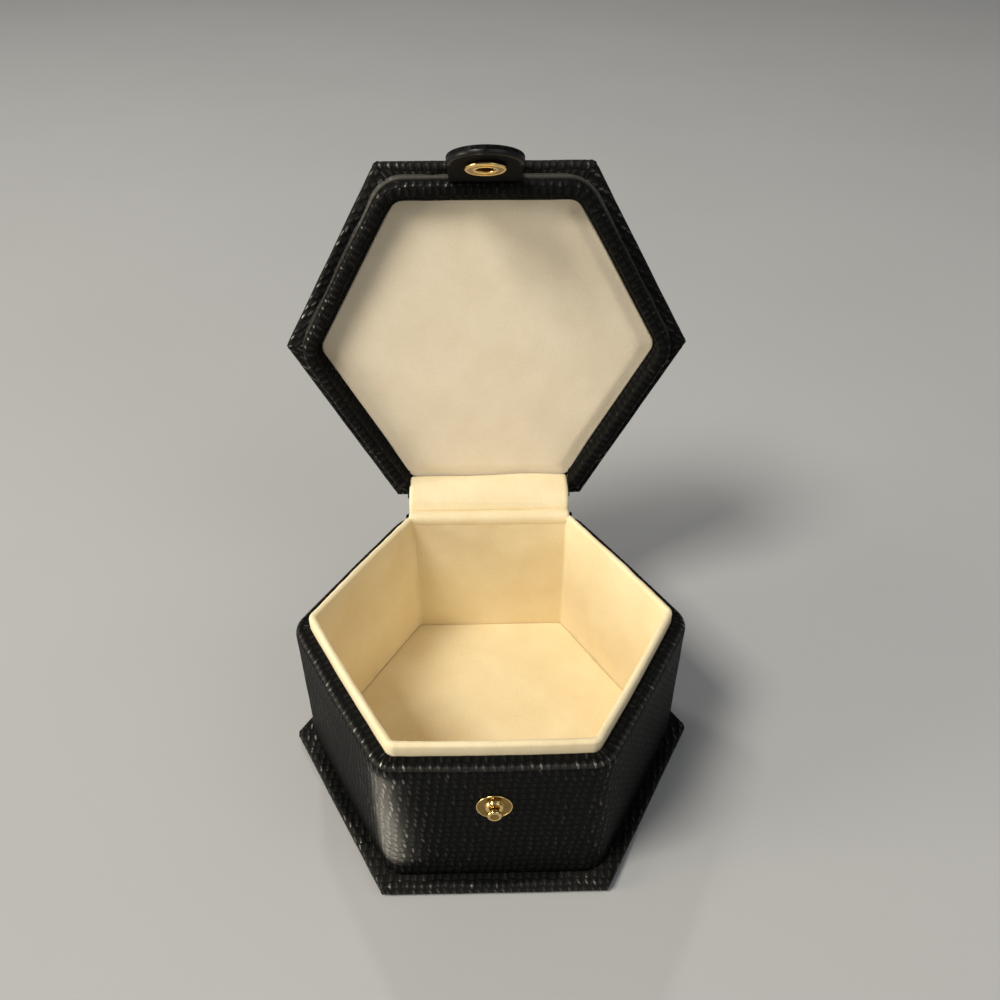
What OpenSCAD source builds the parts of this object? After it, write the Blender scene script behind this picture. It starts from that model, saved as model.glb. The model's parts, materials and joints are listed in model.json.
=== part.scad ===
// Hexagonal presentation box for a ring: a lined box on an overhanging base plate,
// with a hinged lid that closes over the standing lining and a snap tab at the front.
// The box is drawn with its lid open. Flats face front (-Y) and back (+Y), corners left and right.

/* [Plates] */
// Side of the hexagonal base and lid plates
side = 52; // [50:1:56]
// Thickness of the board inside each plate
board_t = 2.2; // [1.6:0.1:4]
// Radius of the plates' corners
plate_corner_r = 1.2; // [0.8:0.1:3]
// Rounding of the plates' wrapped edges
plate_edge_r = 1.1; // [0.6:0.1:1.3]
// Thickness of the leatherette
skin_t = 0.5; // [0.3:0.05:0.7]
// Width of leatherette turned in behind each plate
turn_in = 12; // [9:1:16]
// Thickness of the felt under the base
felt_t = 0.4; // [0.2:0.1:1]
// Distance from the plate's edge to the felt's edge
felt_inset = 4; // [2:0.5:8]

/* [Body] */
// Width of the base plate that stands out past the wall
overhang = 3.5; // [2:0.1:6]
// Height of the wall above the base plate
wall_h = 40; // [32:1:55]
// Thickness of the wall's board
wall_board_t = 2.5; // [2:0.1:3.5]
// Radius of the wall's upright corners
body_corner_r = 6; // [4.5:0.5:9]
// Rounding of the wall's top shoulder
shoulder_r = 1.8; // [1:0.1:2.4]
// Depth of leatherette turned down inside the rim
rim_turn = 6; // [3:0.5:8]

/* [Lining] */
// Thickness of the velvet
velvet_t = 0.5; // [0.3:0.1:0.8]
// Thickness of the card under the velvet
card_t = 0.6; // [0.4:0.1:1.2]
// Height that the lining stands above the rim
liner_rise = 3; // [1.5:0.5:5]
// Depth of velvet turned down outside the lining
velvet_turn = 8; // [4:1:14]
// Thickness of the floor's board
floor_board_t = 2.1; // [1:0.1:6]
// Gap between the lining and what it slides into
fit_gap = 0.1; // [0.05:0.05:0.3]

/* [Lid] */
// Angle from closed to open
lid_open = 96.8; // [80:0.1:105]
// Depth of the frame under the lid plate
frame_h = 6; // [5:0.5:9]
// Gap between the closed lid's frame and the rim
lid_gap = 0.4; // [0.3:0.1:1]
// Gap between the standing lining and the frame round it
lid_clear = 0.4; // [0.3:0.1:0.8]
// Rounding of the frame's lip
lip_r = 1.6; // [1:0.1:2.2]
// Width of the bead round the lid's lining
bead_w = 0.9; // [0.4:0.1:1.2]

/* [Hinge] */
// Distance of the pin inside the plates' back edge
pin_in = 0.1; // [0:0.1:0.9]
// Height of the pin above the rim
pin_rise = 1.2; // [0.5:0.1:2]
// Diameter of the pin
pin_d = 1.2; // [1:0.1:1.6]
// Radial clearance of the pin in the lid's knuckles
pin_clear = 0.05; // [0.02:0.01:0.1]
// Thickness of the leaves' sheet
leaf_t = 0.6; // [0.4:0.1:0.8]
// Length of the plate's side left free beside the hinge
leaf_short = 14; // [12:1:18]
// Height of the leaf on the wall
leaf_h = 12; // [8:1:18]
// Length of each knuckle
knuckle_w = 5; // [4:0.5:6]
// Diameter of the spring wire
wire_d = 0.4; // [0.3:0.05:0.5]
// Turns in each spring
spring_turns = 5; // [3:1:8]
// Distance of the rivets from the middle
rivet_x = 12; // [9:0.5:14]
// Diameter of the rivets
rivet_d = 2; // [1.5:0.1:2.5]
// Length of the plate's side left free beside the velvet cover
cover_short = 8.4; // [8:0.1:12]
// Thickness of the velvet cover
cover_t = 1.2; // [0.8:0.1:1.6]
// Length of the plate's side left free beside the leatherette strip
strip_short = 7; // [6:0.5:16]

/* [Snap] */
// Height of the stud's centre above the ground
stud_z = 30.1; // [26:0.1:34]
// Diameter of the stud's flange
flange_d = 7.9; // [7.5:0.1:9]
// Diameter of the stud's head
head_d = 3.3; // [3:0.02:3.6]
// Distance of the middle of the head from the wall
head_out = 2.25; // [2.1:0.05:2.6]
// Diameter of the stud's neck
neck_d = 1.8; // [1.4:0.1:2.2]
// Diameter of the barrel through the wall
barrel_d = 2.4; // [2:0.1:3]
// Diameter of the washer inside the wall
washer_d = 6.4; // [5:0.1:8]
// Diameter of the socket
socket_d = 9.2; // [8.6:0.1:10.5]
// Height of the socket above the tab
socket_h = 1.2; // [1.1:0.1:1.6]

/* [Tab] */
// Diameter of the tab's round end
tab_d = 17; // [15:0.5:20]
// Width of the tab where it leaves the lid
neck_w = 16.8; // [14:0.2:17]
// Thickness of each of the tab's two layers
layer_t = 1; // [0.8:0.1:1.4]
// Gap between the tab and the wall behind it
tab_gap = 0.3; // [0.2:0.1:1]
// Angle between the tab and the closed wall, as the leather rests
tab_splay = 25; // [20:0.5:50]

/* [Hidden] */

corner_steps = 6;    // facets in each upright corner
roll_steps = 4;      // facets in each rounded edge
lap = 0.01;          // overlap that joins two shapes of one piece
cut = 1;             // how far a cutter passes a face

// Colours
leatherette = [0.06, 0.07, 0.07];
suede = [0.14, 0.12, 0.11];
felt = [0.09, 0.09, 0.10];
velvet = [0.95, 0.88, 0.70];
greyboard = [0.55, 0.53, 0.50];
fibreboard = [0.62, 0.50, 0.36];
gold = [0.83, 0.66, 0.33];
steel = [0.70, 0.70, 0.72];

// Plates and wall
plate_ap = side * cos(30);
plate_h = board_t + 2 * skin_t;
base_top = felt_t + plate_h;
body_ap = plate_ap - overhang;
rim_z = base_top + wall_h;
board_out = body_ap - skin_t;
board_in = board_out - wall_board_t;
wall_in = board_in - skin_t;
wall_in_r = body_corner_r - wall_board_t - 2 * skin_t;

// Lining
liner_ap = wall_in - fit_gap;
liner_t = card_t + 2 * velvet_t;
liner_r = wall_in_r;
cavity_ap = liner_ap - liner_t;
cavity_r = max(0.4, liner_r - liner_t);
liner_top = rim_z + liner_rise;
floor_ap = cavity_ap - fit_gap;
floor_z = base_top + floor_board_t + velvet_t;

// Lid, in its closed place
lip_z = rim_z + lid_gap;
lid_z = lip_z + frame_h;
frame_in = liner_ap + lid_clear;
frame_in_r = liner_r + lid_clear;
lining_ap = frame_in - bead_w - fit_gap;
lining_h = card_t + velvet_t / 2 + 0.15;
cover_w = side - cover_short;
tongue_w = cover_w - 0.6;
tongue_y = lining_ap + 1.2;
notch_w = cover_w + 0.6;

// Hinge
leaf_w = side - leaf_short;
strip_w = side - strip_short;
pin_y = plate_ap - pin_in;
pin_z = rim_z + pin_rise;
knuckle_in = pin_d / 2 + pin_clear;
knuckle_r = knuckle_in + leaf_t;
knuckle_gap = 0.3;
base_knuckle_x = leaf_w / 2 - knuckle_w / 2;
lid_knuckle_x = base_knuckle_x - knuckle_w - knuckle_gap;
spring_far = lid_knuckle_x - knuckle_w / 2 - knuckle_gap - wire_d / 2;
coil_r = pin_d / 2 + wire_d / 2 + 0.25;
spring_bay = spring_far + wire_d / 2 + knuckle_gap / 2;
leaf_top = pin_z - knuckle_r + leaf_t;
leaf_reach = pin_y - knuckle_r - knuckle_gap;
leaf_out = body_ap + leaf_t;
rivet_z = rim_z - leaf_h * 0.65;
lid_arm_y = pin_y - knuckle_r;
lid_arm_z = pin_z + knuckle_r + 0.5;
lid_rivet_y = (frame_in + lid_arm_y) / 2 + 0.5;

// Tab, in the closed lid's place: it turns about the bend line at the frame's lip
tab_t = 2 * layer_t;
bend_y = -(body_ap + tab_gap + layer_t);
bend_z = lip_z;
bend_clear = 0.25;
seat_h = layer_t + 0.35;
stud_drop = bend_z - stud_z;
stud_reach = body_ap + head_out + bend_y;
tab_len = sqrt(pow(stud_drop, 2) + pow(stud_reach, 2) - pow(seat_h, 2));
socket_hole_r = head_d / 2 + 0.35;

// ---------------------------------------------------------------- outlines

// Hexagon with rounded corners; a is the apothem, r the corner radius
function hex_points(a, r) = [
    for (k = [0:5], j = [0:corner_steps])
        let (turn = 60 * k - 30 + 60 * j / corner_steps, c = (a - r) / cos(30))
        [c * cos(60 * k) + r * cos(turn), c * sin(60 * k) + r * sin(turn)]
];

module rounded_hex(a, r) {
    polygon(hex_points(a, r));
}

module prism(a, r, z0, z1) {
    translate([0, 0, z0]) linear_extrude(height = z1 - z0) rounded_hex(a, r);
}

// Loft through slices [z, apothem, corner radius], given from the lowest to the highest
module loft(slices) {
    rings = [for (s = slices) [for (p = hex_points(s[1], s[2])) [p[0], p[1], s[0]]]];
    n = len(rings[0]);
    last = len(rings) - 1;
    sides = [for (i = [0:last - 1], j = [0:n - 1]) let (k = (j + 1) % n)
        [i * n + j, (i + 1) * n + j, (i + 1) * n + k, i * n + k]];
    caps = [[for (j = [0:n - 1]) j], [for (j = [n - 1:-1:0]) last * n + j]];
    polyhedron([for (ring = rings, p = ring) p], concat(sides, caps), convexity = 4);
}

// Slices of a quarter-round edge that ends at the top, z, or starts at the bottom, z
function top_edge(a, r, e, z) = [for (j = [0:roll_steps]) let (t = 90 * j / roll_steps)
    [z - e + e * sin(t), a - e * (1 - cos(t)), max(0.2, r - e * (1 - cos(t)))]];
function bottom_edge(a, r, e, z) = [for (j = [roll_steps:-1:0]) let (t = 90 * j / roll_steps)
    [z + e - e * sin(t), a - e * (1 - cos(t)), max(0.2, r - e * (1 - cos(t)))]];

// Slices of an opening that flares towards its mouth in a quarter round
function top_flare(a, r, e, z) = [for (j = [0:roll_steps]) let (t = 90 * j / roll_steps)
    [z - e + e * sin(t), a + e * (1 - cos(t)), r + e * (1 - cos(t))]];
function bottom_flare(a, r, e, z) = [for (j = [roll_steps:-1:0]) let (t = 90 * j / roll_steps)
    [z + e - e * sin(t), a + e * (1 - cos(t)), r + e * (1 - cos(t))]];

module round_top(a, r, e, z0, z1) {
    loft(concat([[z0, a, r]], top_edge(a, r, e, z1)));
}

module round_bottom(a, r, e, z0, z1) {
    loft(concat(bottom_edge(a, r, e, z0), [[z1, a, r]]));
}

// A profile drawn in the Y-Z plane, w wide along X and centred on x
module across(w, x = 0) {
    translate([x - w / 2, 0, 0]) rotate([90, 0, 90]) linear_extrude(height = w) children();
}

// ---------------------------------------------------------------- places

module opened() {
    translate([0, pin_y, pin_z]) rotate([-lid_open, 0, 0]) translate([0, -pin_y, -pin_z]) children();
}

// The tab's own place: Y runs down the tab from the bend, Z towards the wall
module on_tab() {
    opened() translate([0, bend_y, bend_z]) rotate([-tab_splay, 0, 0]) rotate([-90, 0, 0])
        children();
}

module on_front(z) {
    translate([0, -body_ap, z]) rotate([90, 0, 0]) children();
}

// Where a point of the closed lid lies once it is open
function opened_yz(p) = let (y = p[0] - pin_y, z = p[1] - pin_z)
    [pin_y + y * cos(lid_open) + z * sin(lid_open), pin_z - y * sin(lid_open) + z * cos(lid_open)];

// ---------------------------------------------------------------- base and wall

module plate_board() {
    prism(plate_ap - skin_t, max(0.3, plate_corner_r - skin_t), skin_t, skin_t + board_t);
}

module plate_wrap() {
    difference() {
        loft(concat(bottom_edge(plate_ap, plate_corner_r, plate_edge_r, 0),
                    top_edge(plate_ap, plate_corner_r, plate_edge_r, plate_h)));
        plate_board();
        prism(plate_ap - turn_in, plate_corner_r, -cut, skin_t + lap);
    }
}

module base_pad() {
    window = plate_ap - turn_in - fit_gap;
    color(felt) {
        prism(plate_ap - felt_inset, plate_corner_r, 0, felt_t);
        prism(window, plate_corner_r, felt_t - lap, felt_t + skin_t);
    }
}

module base_board() {
    color(fibreboard) translate([0, 0, felt_t]) plate_board();
}

module base_wrap() {
    color(leatherette) translate([0, 0, felt_t]) plate_wrap();
}

// Holes through the wall for the stud and for the hinge's rivets
module wall_holes() {
    translate([0, -body_ap - cut, stud_z]) rotate([-90, 0, 0])
        cylinder(d = barrel_d + 2 * fit_gap, h = wall_board_t + 2 * skin_t + 2 * cut, $fn = 32);
    for (x = [-rivet_x, rivet_x]) translate([x, body_ap + cut, rivet_z]) rotate([90, 0, 0])
        cylinder(d = rivet_d, h = wall_board_t + 2 * skin_t + 2 * cut, $fn = 32);
}

module wall_solid(drop, inset) {
    round_top(body_ap - inset, body_corner_r - inset, shoulder_r - inset, base_top, rim_z - drop);
}

module wall_board() {
    color(fibreboard) difference() {
        wall_solid(skin_t, skin_t);
        prism(board_in, wall_in_r + skin_t, base_top - cut, rim_z + cut);
        wall_holes();
    }
}

module wall_wrap() {
    color(leatherette) difference() {
        wall_solid(0, 0);
        difference() {
            wall_solid(skin_t, skin_t);
            prism(board_in, wall_in_r + skin_t, rim_z - rim_turn, rim_z);
        }
        prism(wall_in, wall_in_r, base_top - cut, rim_z + cut);
        prism(board_in, wall_in_r + skin_t, base_top - cut, rim_z - rim_turn);
        wall_holes();
    }
}

// ---------------------------------------------------------------- lining

module liner_card() {
    a = liner_ap - velvet_t;
    color(greyboard) difference() {
        prism(a, liner_r - velvet_t, base_top, liner_top - velvet_t);
        prism(a - card_t, cavity_r + velvet_t, base_top - cut, liner_top);
    }
}

module liner_velvet() {
    roll = liner_t * 0.45;
    color(velvet) difference() {
        round_top(liner_ap, liner_r, roll, base_top, liner_top);
        loft(concat([[base_top - cut, cavity_ap, cavity_r]], top_flare(cavity_ap, cavity_r, roll, liner_top),
                    [[liner_top + cut, cavity_ap + roll, cavity_r + roll]]));
        liner_card();
        difference() {
            prism(liner_ap + cut, liner_r + cut, base_top - cut, rim_z - velvet_turn);
            prism(liner_ap - velvet_t, liner_r - velvet_t, base_top - 2 * cut, rim_z);
        }
    }
}

module floor_board() {
    color(greyboard) prism(floor_ap - velvet_t, cavity_r, base_top, floor_z - velvet_t);
}

module floor_velvet() {
    color(velvet) difference() {
        round_top(floor_ap, cavity_r + velvet_t, velvet_t * 0.8, base_top, floor_z);
        prism(floor_ap - velvet_t, cavity_r, base_top - cut, floor_z - velvet_t);
    }
}

// ---------------------------------------------------------------- stud

// Dished washer with a rolled rim and a raised boss round the post
module stud_flange() {
    roll = 0.18;
    boss_r = flange_d * 0.26;
    color(gold) on_front(stud_z) difference() {
        union() {
            rotate_extrude($fn = 64) translate([flange_d / 2 - roll, roll]) circle(r = roll, $fn = 24);
            rotate_extrude($fn = 64) polygon([
                [neck_d / 2 + fit_gap, 0], [flange_d / 2 - roll, 0], [flange_d / 2 - roll, 0.2],
                [boss_r + 0.4, 0.16], [boss_r, 0.5], [boss_r * 0.85, 0.85], [boss_r * 0.6, 1],
                [neck_d / 2 + fit_gap, 1]
            ]);
        }
        translate([0, 0, -cut]) cylinder(d = neck_d + 2 * fit_gap, h = 4 * cut, $fn = 32);
    }
}

// Button-headed post: neck, rounded head with a dimpled face, barrel through the wall and its clinched end
module stud_post() {
    r = head_d / 2;
    wall = wall_board_t + skin_t;
    color(gold) on_front(stud_z) difference() {
        union() {
            translate([0, 0, -skin_t]) cylinder(d = neck_d, h = head_out - 0.4 + skin_t, $fn = 48);
            translate([0, 0, head_out]) rotate_extrude($fn = 64) polygon([
                [0, -0.5], [r * 0.78, -0.5], [r * 0.94, -0.32], [r, -0.05], [r * 0.97, 0.2], [r * 0.88, 0.38],
                [r * 0.74, 0.48], [r * 0.6, 0.44], [r * 0.3, 0.3], [0, 0.26]
            ]);
            translate([0, 0, -wall - 0.9]) cylinder(d = barrel_d, h = wall + 0.9 - lap, $fn = 48);
        }
        translate([0, 0, -wall - 2]) cylinder(d = barrel_d - 1, h = wall, $fn = 32);
    }
}

module stud_washer() {
    wall = wall_board_t + skin_t;
    color(steel) on_front(stud_z) translate([0, 0, -wall - 0.4]) difference() {
        cylinder(d = washer_d, h = 0.4, $fn = 48);
        translate([0, 0, -cut]) cylinder(d = barrel_d + 2 * fit_gap, h = 2 * cut + 0.4, $fn = 32);
    }
}

// ---------------------------------------------------------------- hinge

module knuckle(x) {
    across(knuckle_w, x) translate([pin_y, pin_z]) difference() {
        circle(r = knuckle_r, $fn = 48);
        circle(r = knuckle_in, $fn = 48);
    }
}

// Sheet leaf on the back wall, folded out to the outer knuckles
module hinge_base_leaf() {
    color(steel) difference() {
        union() {
            across(leaf_w) translate([body_ap, leaf_top - leaf_h]) square([leaf_t, leaf_h]);
            across(leaf_w) translate([body_ap, leaf_top - leaf_t]) square([leaf_reach - body_ap, leaf_t]);
            for (s = [-1, 1]) {
                across(knuckle_w, s * base_knuckle_x) translate([body_ap, leaf_top - leaf_t])
                    square([pin_y - body_ap, leaf_t]);
                knuckle(s * base_knuckle_x);
            }
        }
        across(leaf_w + cut) translate([pin_y, pin_z]) circle(r = knuckle_in, $fn = 48);
        across(2 * spring_bay) translate([leaf_out + 0.4, leaf_top - 2]) square([8, 4]);
        for (x = [-rivet_x, rivet_x]) translate([x, leaf_out + cut, rivet_z]) rotate([90, 0, 0])
            cylinder(d = rivet_d, h = leaf_t + 2 * cut, $fn = 32);
    }
}

module base_rivet(x) {
    depth = leaf_t + wall_board_t + 2 * skin_t - 0.4;
    color(steel) translate([x, leaf_out, rivet_z]) rotate([90, 0, 0])
        cylinder(d = rivet_d, h = depth, $fn = 32);
}

module base_rivet_left() {
    base_rivet(-rivet_x);
}

module base_rivet_right() {
    base_rivet(rivet_x);
}

// Sheet leaf under the lid's back edge, folded down to the inner knuckles
module hinge_lid_leaf() {
    flange_y = frame_in + 0.6;
    color(steel) opened() difference() {
        union() {
            across(leaf_w) translate([flange_y, lid_z - leaf_t]) square([lid_arm_y + leaf_t - flange_y, leaf_t]);
            across(leaf_w) translate([lid_arm_y, lid_arm_z]) square([leaf_t, lid_z - lid_arm_z]);
            for (s = [-1, 1]) {
                across(knuckle_w, s * lid_knuckle_x) translate([lid_arm_y, pin_z])
                    square([leaf_t, lid_z - pin_z]);
                knuckle(s * lid_knuckle_x);
            }
        }
        across(leaf_w + cut) translate([pin_y, pin_z]) circle(r = knuckle_in, $fn = 48);
        across(2 * spring_bay) translate([lid_arm_y - cut, pin_z]) square([2 * cut, 2.8]);
        for (x = [-rivet_x, rivet_x]) translate([x, lid_rivet_y, lid_z - leaf_t - cut])
            cylinder(d = rivet_d, h = leaf_t + 2 * cut, $fn = 32);
    }
}

module lid_rivet(x) {
    color(steel) opened() translate([x, lid_rivet_y, lid_z - leaf_t])
        cylinder(d = rivet_d, h = leaf_t + skin_t + board_t - 0.4, $fn = 32);
}

module lid_rivet_left() {
    lid_rivet(-rivet_x);
}

module lid_rivet_right() {
    lid_rivet(rivet_x);
}

module hinge_pin() {
    color(steel) across(leaf_w + 0.8) translate([pin_y, pin_z]) circle(d = pin_d, $fn = 48);
}

// Torsion spring: a wire swept round the pin, with one leg to the wall and one along the lid's leaf
function coil_at(turn) = [0, sin(turn), -cos(turn)];
function spring_path(x, dir) = let (
    n = 15, last = n * spring_turns, lift = 12, pitch = wire_d * 1.25,
    leg_in = pin_y - leaf_out - 0.6, leg_out = 4.2,
    start = [x, 0, 0] + coil_r * coil_at(0), end = [x + dir * pitch * spring_turns, 0, 0] + coil_r * coil_at(lift))
    concat(
        [[start - [0, leg_in, 0], coil_at(0)]],
        [for (j = [0:last]) let (turn = 360 * j / n)
            [[x + dir * pitch * j / n, 0, 0] + coil_r * coil_at(turn), coil_at(turn)]],
        [[end, coil_at(lift)], [end + leg_out * [0, cos(lift), sin(lift)], coil_at(lift)]]
    );

module torsion_spring(x, dir) {
    sides = 6;
    path = spring_path(x, dir);
    count = len(path);
    points = [for (p = path, j = [0:sides - 1])
        p[0] + wire_d / 2 * (cos(360 * j / sides) * p[1] + sin(360 * j / sides) * [1, 0, 0])];
    walls = [for (i = [0:count - 2], j = [0:sides - 1])
        let (a = i * sides + j, b = i * sides + (j + 1) % sides) [a, b, b + sides, a + sides]];
    ends = [[for (j = [0:sides - 1]) sides - 1 - j], [for (j = [0:sides - 1]) (count - 1) * sides + j]];
    translate([0, pin_y, pin_z]) polyhedron(points, concat(walls, ends), convexity = 8);
}

module spring_left() {
    color(steel) torsion_spring(-spring_far, 1);
}

module spring_right() {
    color(steel) mirror([1, 0, 0]) torsion_spring(-spring_far, 1);
}

// ---------------------------------------------------------------- lid

module lid_board() {
    color(fibreboard) opened() difference() {
        translate([0, 0, lid_z]) plate_board();
        for (x = [-rivet_x, rivet_x]) translate([x, lid_rivet_y, lid_z])
            cylinder(d = rivet_d, h = skin_t + board_t - 0.4, $fn = 32);
    }
}

module lid_wrap() {
    color(leatherette) opened() difference() {
        translate([0, 0, lid_z]) plate_wrap();
        for (x = [-rivet_x, rivet_x]) translate([x, lid_rivet_y, lid_z - cut])
            cylinder(d = rivet_d, h = skin_t + cut, $fn = 32);
    }
}

// The frame is open at the back, where the hinge and its cover take its place
module hinge_notch() {
    inner = cavity_ap - 3;
    translate([-notch_w / 2, inner, lip_z - cut]) cube([notch_w, plate_ap - inner, frame_h + 2 * cut]);
}

module frame_core(over = 0) {
    inner_r = frame_in_r + skin_t;
    outer_r = body_corner_r - 1.2 * skin_t;
    difference() {
        round_bottom(body_ap - skin_t, outer_r, lip_r - skin_t, lip_z + skin_t, lid_z + over);
        prism(frame_in + skin_t, inner_r, lip_z - cut, lid_z + 2 * cut);
    }
}

module frame_board() {
    color(fibreboard) opened() difference() {
        frame_core();
        hinge_notch();
    }
}

module frame_wrap() {
    lip_in = 0.5;
    bead_z = lid_z - lining_h;
    color(leatherette) opened() difference() {
        round_bottom(body_ap, body_corner_r, lip_r, lip_z, lid_z);
        frame_core(cut);
        loft(concat([[lip_z - cut, frame_in + lip_in, frame_in_r + lip_in]],
                    bottom_flare(frame_in, frame_in_r, lip_in, lip_z),
                    [[bead_z - 2, frame_in, frame_in_r], [bead_z, frame_in - bead_w, frame_in_r - bead_w],
                     [lid_z + cut, frame_in - bead_w, frame_in_r - bead_w]]));
        hinge_notch();
    }
}

// Outline of the lid's lining, with a tongue under the hinge cover
module lining_outline(inset) {
    rounded_hex(lining_ap - inset, max(0.3, frame_in_r - bead_w - inset));
    translate([-tongue_w / 2 + inset, 0]) square([tongue_w - 2 * inset, tongue_y - inset]);
}

module lining_card() {
    color(greyboard) opened() translate([0, 0, lid_z - card_t])
        linear_extrude(height = card_t) lining_outline(velvet_t / 2);
}

module lining_velvet() {
    color(velvet) opened() difference() {
        translate([0, 0, lid_z - lining_h]) linear_extrude(height = lining_h) lining_outline(0);
        translate([0, 0, lid_z - card_t]) linear_extrude(height = card_t + cut) lining_outline(velvet_t / 2);
    }
}

// ---------------------------------------------------------------- covers over the hinge

function bezier(p, t) = pow(1 - t, 3) * p[0] + 3 * t * pow(1 - t, 2) * p[1]
    + 3 * t * t * (1 - t) * p[2] + pow(t, 3) * p[3];
function bezier_dir(p, t) = let (
    d = pow(1 - t, 2) * (p[1] - p[0]) + 2 * t * (1 - t) * (p[2] - p[1]) + t * t * (p[3] - p[2])) d / norm(d);
function beside(p, t, off) = let (d = bezier_dir(p, t)) bezier(p, t) + off * [-d[1], d[0]];

// Padded velvet band from the lid's lining over the hinge to the back of the rim
module hinge_cover() {
    top = opened_yz([tongue_y - 0.3, lid_z - lining_h - fit_gap]);
    crease = [body_ap - 1, rim_z + 2.3];
    curve = [top, top + [-3.4, 0.3], crease + [2.2, 2.6], crease];
    steps = 12;
    color(velvet) across(cover_w) polygon(concat(
        [for (j = [0:steps]) bezier(curve, j / steps)],
        [[liner_ap + fit_gap, rim_z + 2.6], [liner_ap + fit_gap, rim_z + 0.05],
         [body_ap - shoulder_r + 0.2, rim_z + 0.05]],
        [for (j = [steps:-1:0]) beside(curve, j / steps, cover_t)]
    ));
}

// Leatherette strip from the back wall to the lid plate's back edge
module hinge_strip() {
    wall_face = leaf_out + 0.05;
    edge = opened_yz([plate_ap, lid_z + plate_h / 2]);
    low = [wall_face, leaf_top - 3.2];
    curve = [low, low + [0, 2.2], edge + [-6, -skin_t - 0.9], edge + [-1.2, -skin_t - 0.05]];
    steps = 10;
    color(leatherette) across(strip_w) polygon(concat(
        [[wall_face, leaf_top - leaf_h - 3]],
        [for (j = [0:steps]) bezier(curve, j / steps)],
        [edge + [1.2, -skin_t - 0.05], edge + [1.2, -2 * skin_t - 0.05]],
        [for (j = [steps:-1:0]) beside(curve, j / steps, -skin_t)],
        [[wall_face + skin_t, leaf_top - leaf_h - 3]]
    ));
}

// ---------------------------------------------------------------- tab and socket

module tab_outline() {
    r = tab_d / 2;
    polygon(concat(
        [[neck_w / 2, 0]],
        [for (a = [-5:10:185]) [r * cos(a), tab_len + r * sin(a)]],
        [[-neck_w / 2, 0]]
    ));
}

// Root of the tab, glued to the frame's front, with a round end at the bend
module tab_root() {
    top = lid_z - 0.1;
    outer = bend_y - layer_t;
    color(leatherette) opened() {
        across(neck_w) translate([outer, bend_z + layer_t]) square([-body_ap - outer, top - bend_z - layer_t]);
        across(neck_w) translate([outer, bend_z]) square([tab_t, layer_t + lap]);
        across(neck_w) translate([bend_y, bend_z]) circle(r = layer_t, $fn = 48);
    }
}

module bend_space() {
    translate([-neck_w, 0, 0]) rotate([0, 90, 0]) cylinder(r = layer_t + bend_clear, h = 2 * neck_w, $fn = 48);
}

module tab_layer(z0) {
    difference() {
        translate([0, 0, z0]) linear_extrude(height = layer_t) tab_outline();
        bend_space();
        translate([-tab_d, -cut, z0 - cut]) cube([2 * tab_d, cut + 0.01, 2 * cut + layer_t]);
    }
}

module tab_strap() {
    color(leatherette) on_tab() tab_layer(-layer_t);
}

module tab_lining() {
    color(suede) on_tab() difference() {
        tab_layer(0);
        translate([0, tab_len, -cut]) cylinder(r = socket_hole_r + 0.3, h = layer_t + 2 * cut, $fn = 48);
    }
}

// Socket: a hollow ring that widens from its foot, with an inturned lip round the mouth
module socket_shell() {
    r = socket_d / 2;
    bay = r - 0.9;
    bore = socket_hole_r + 0.3;
    mouth = socket_hole_r + 0.1;
    h = socket_h;
    color(gold) on_tab() translate([0, tab_len, layer_t]) rotate_extrude($fn = 72) polygon([
        [bore, 0], [r - 0.45, 0], [r - 0.35, h * 0.2], [r - 0.1, h * 0.4], [r, h * 0.6], [r - 0.03, h * 0.8],
        [r - 0.2, h * 0.94], [r - 0.5, h], [mouth + 0.35, h - 0.04], [mouth + 0.1, h - 0.14], [mouth, h - 0.3],
        [mouth, h - 0.4], [bay, h - 0.4], [bay, 0.25], [bore, 0.25]
    ]);
}

// Split wire loop with two straight bars, which spring behind the stud's head
module socket_spring() {
    wire = 0.22;
    bar_x = head_d / 2 + wire + 0.08;
    bar_y = 1.3;
    split = 24;
    height = layer_t + socket_h - 0.4 - wire - 0.03;
    color(steel) on_tab() translate([0, tab_len, height]) {
        for (s = [-1, 1]) {
            translate([s * bar_x, bar_y, 0]) rotate([90, 0, 0]) cylinder(r = wire, h = 2 * bar_y, $fn = 24);
            translate([0, bar_y, 0]) rotate([0, 0, s > 0 ? 0 : 90 + split / 2])
                rotate_extrude(angle = 90 - split / 2, $fn = 48) translate([bar_x, 0]) circle(r = wire, $fn = 24);
        }
        translate([0, -bar_y, 0]) rotate([0, 0, 180])
            rotate_extrude(angle = 180, $fn = 48) translate([bar_x, 0]) circle(r = wire, $fn = 24);
    }
}

// Eyelet through the tab's lining: it holds the socket and receives the stud's head
module socket_eyelet() {
    outer = socket_hole_r + 0.25;
    color(gold) on_tab() translate([0, tab_len, 0]) difference() {
        translate([0, 0, 0.05]) cylinder(r = outer, h = layer_t + 0.25, $fn = 48);
        translate([0, 0, 0.3]) cylinder(r = socket_hole_r, h = layer_t + cut, $fn = 48);
    }
}

base_pad();
base_board();
base_wrap();
wall_board();
wall_wrap();
liner_card();
liner_velvet();
floor_board();
floor_velvet();
stud_flange();
stud_post();
stud_washer();
hinge_base_leaf();
base_rivet_left();
base_rivet_right();
hinge_pin();
spring_left();
spring_right();
hinge_strip();
hinge_cover();
lid_board();
lid_wrap();
frame_board();
frame_wrap();
lining_card();
lining_velvet();
hinge_lid_leaf();
lid_rivet_left();
lid_rivet_right();
tab_root();
tab_strap();
tab_lining();
socket_shell();
socket_spring();
socket_eyelet();
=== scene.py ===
"""Hexagonal presentation box for a ring: leatherette over board, a velvet lining and a snap tab."""
import json
import math

import bpy
import numpy as np
from mathutils import Matrix, Vector, noise


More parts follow.
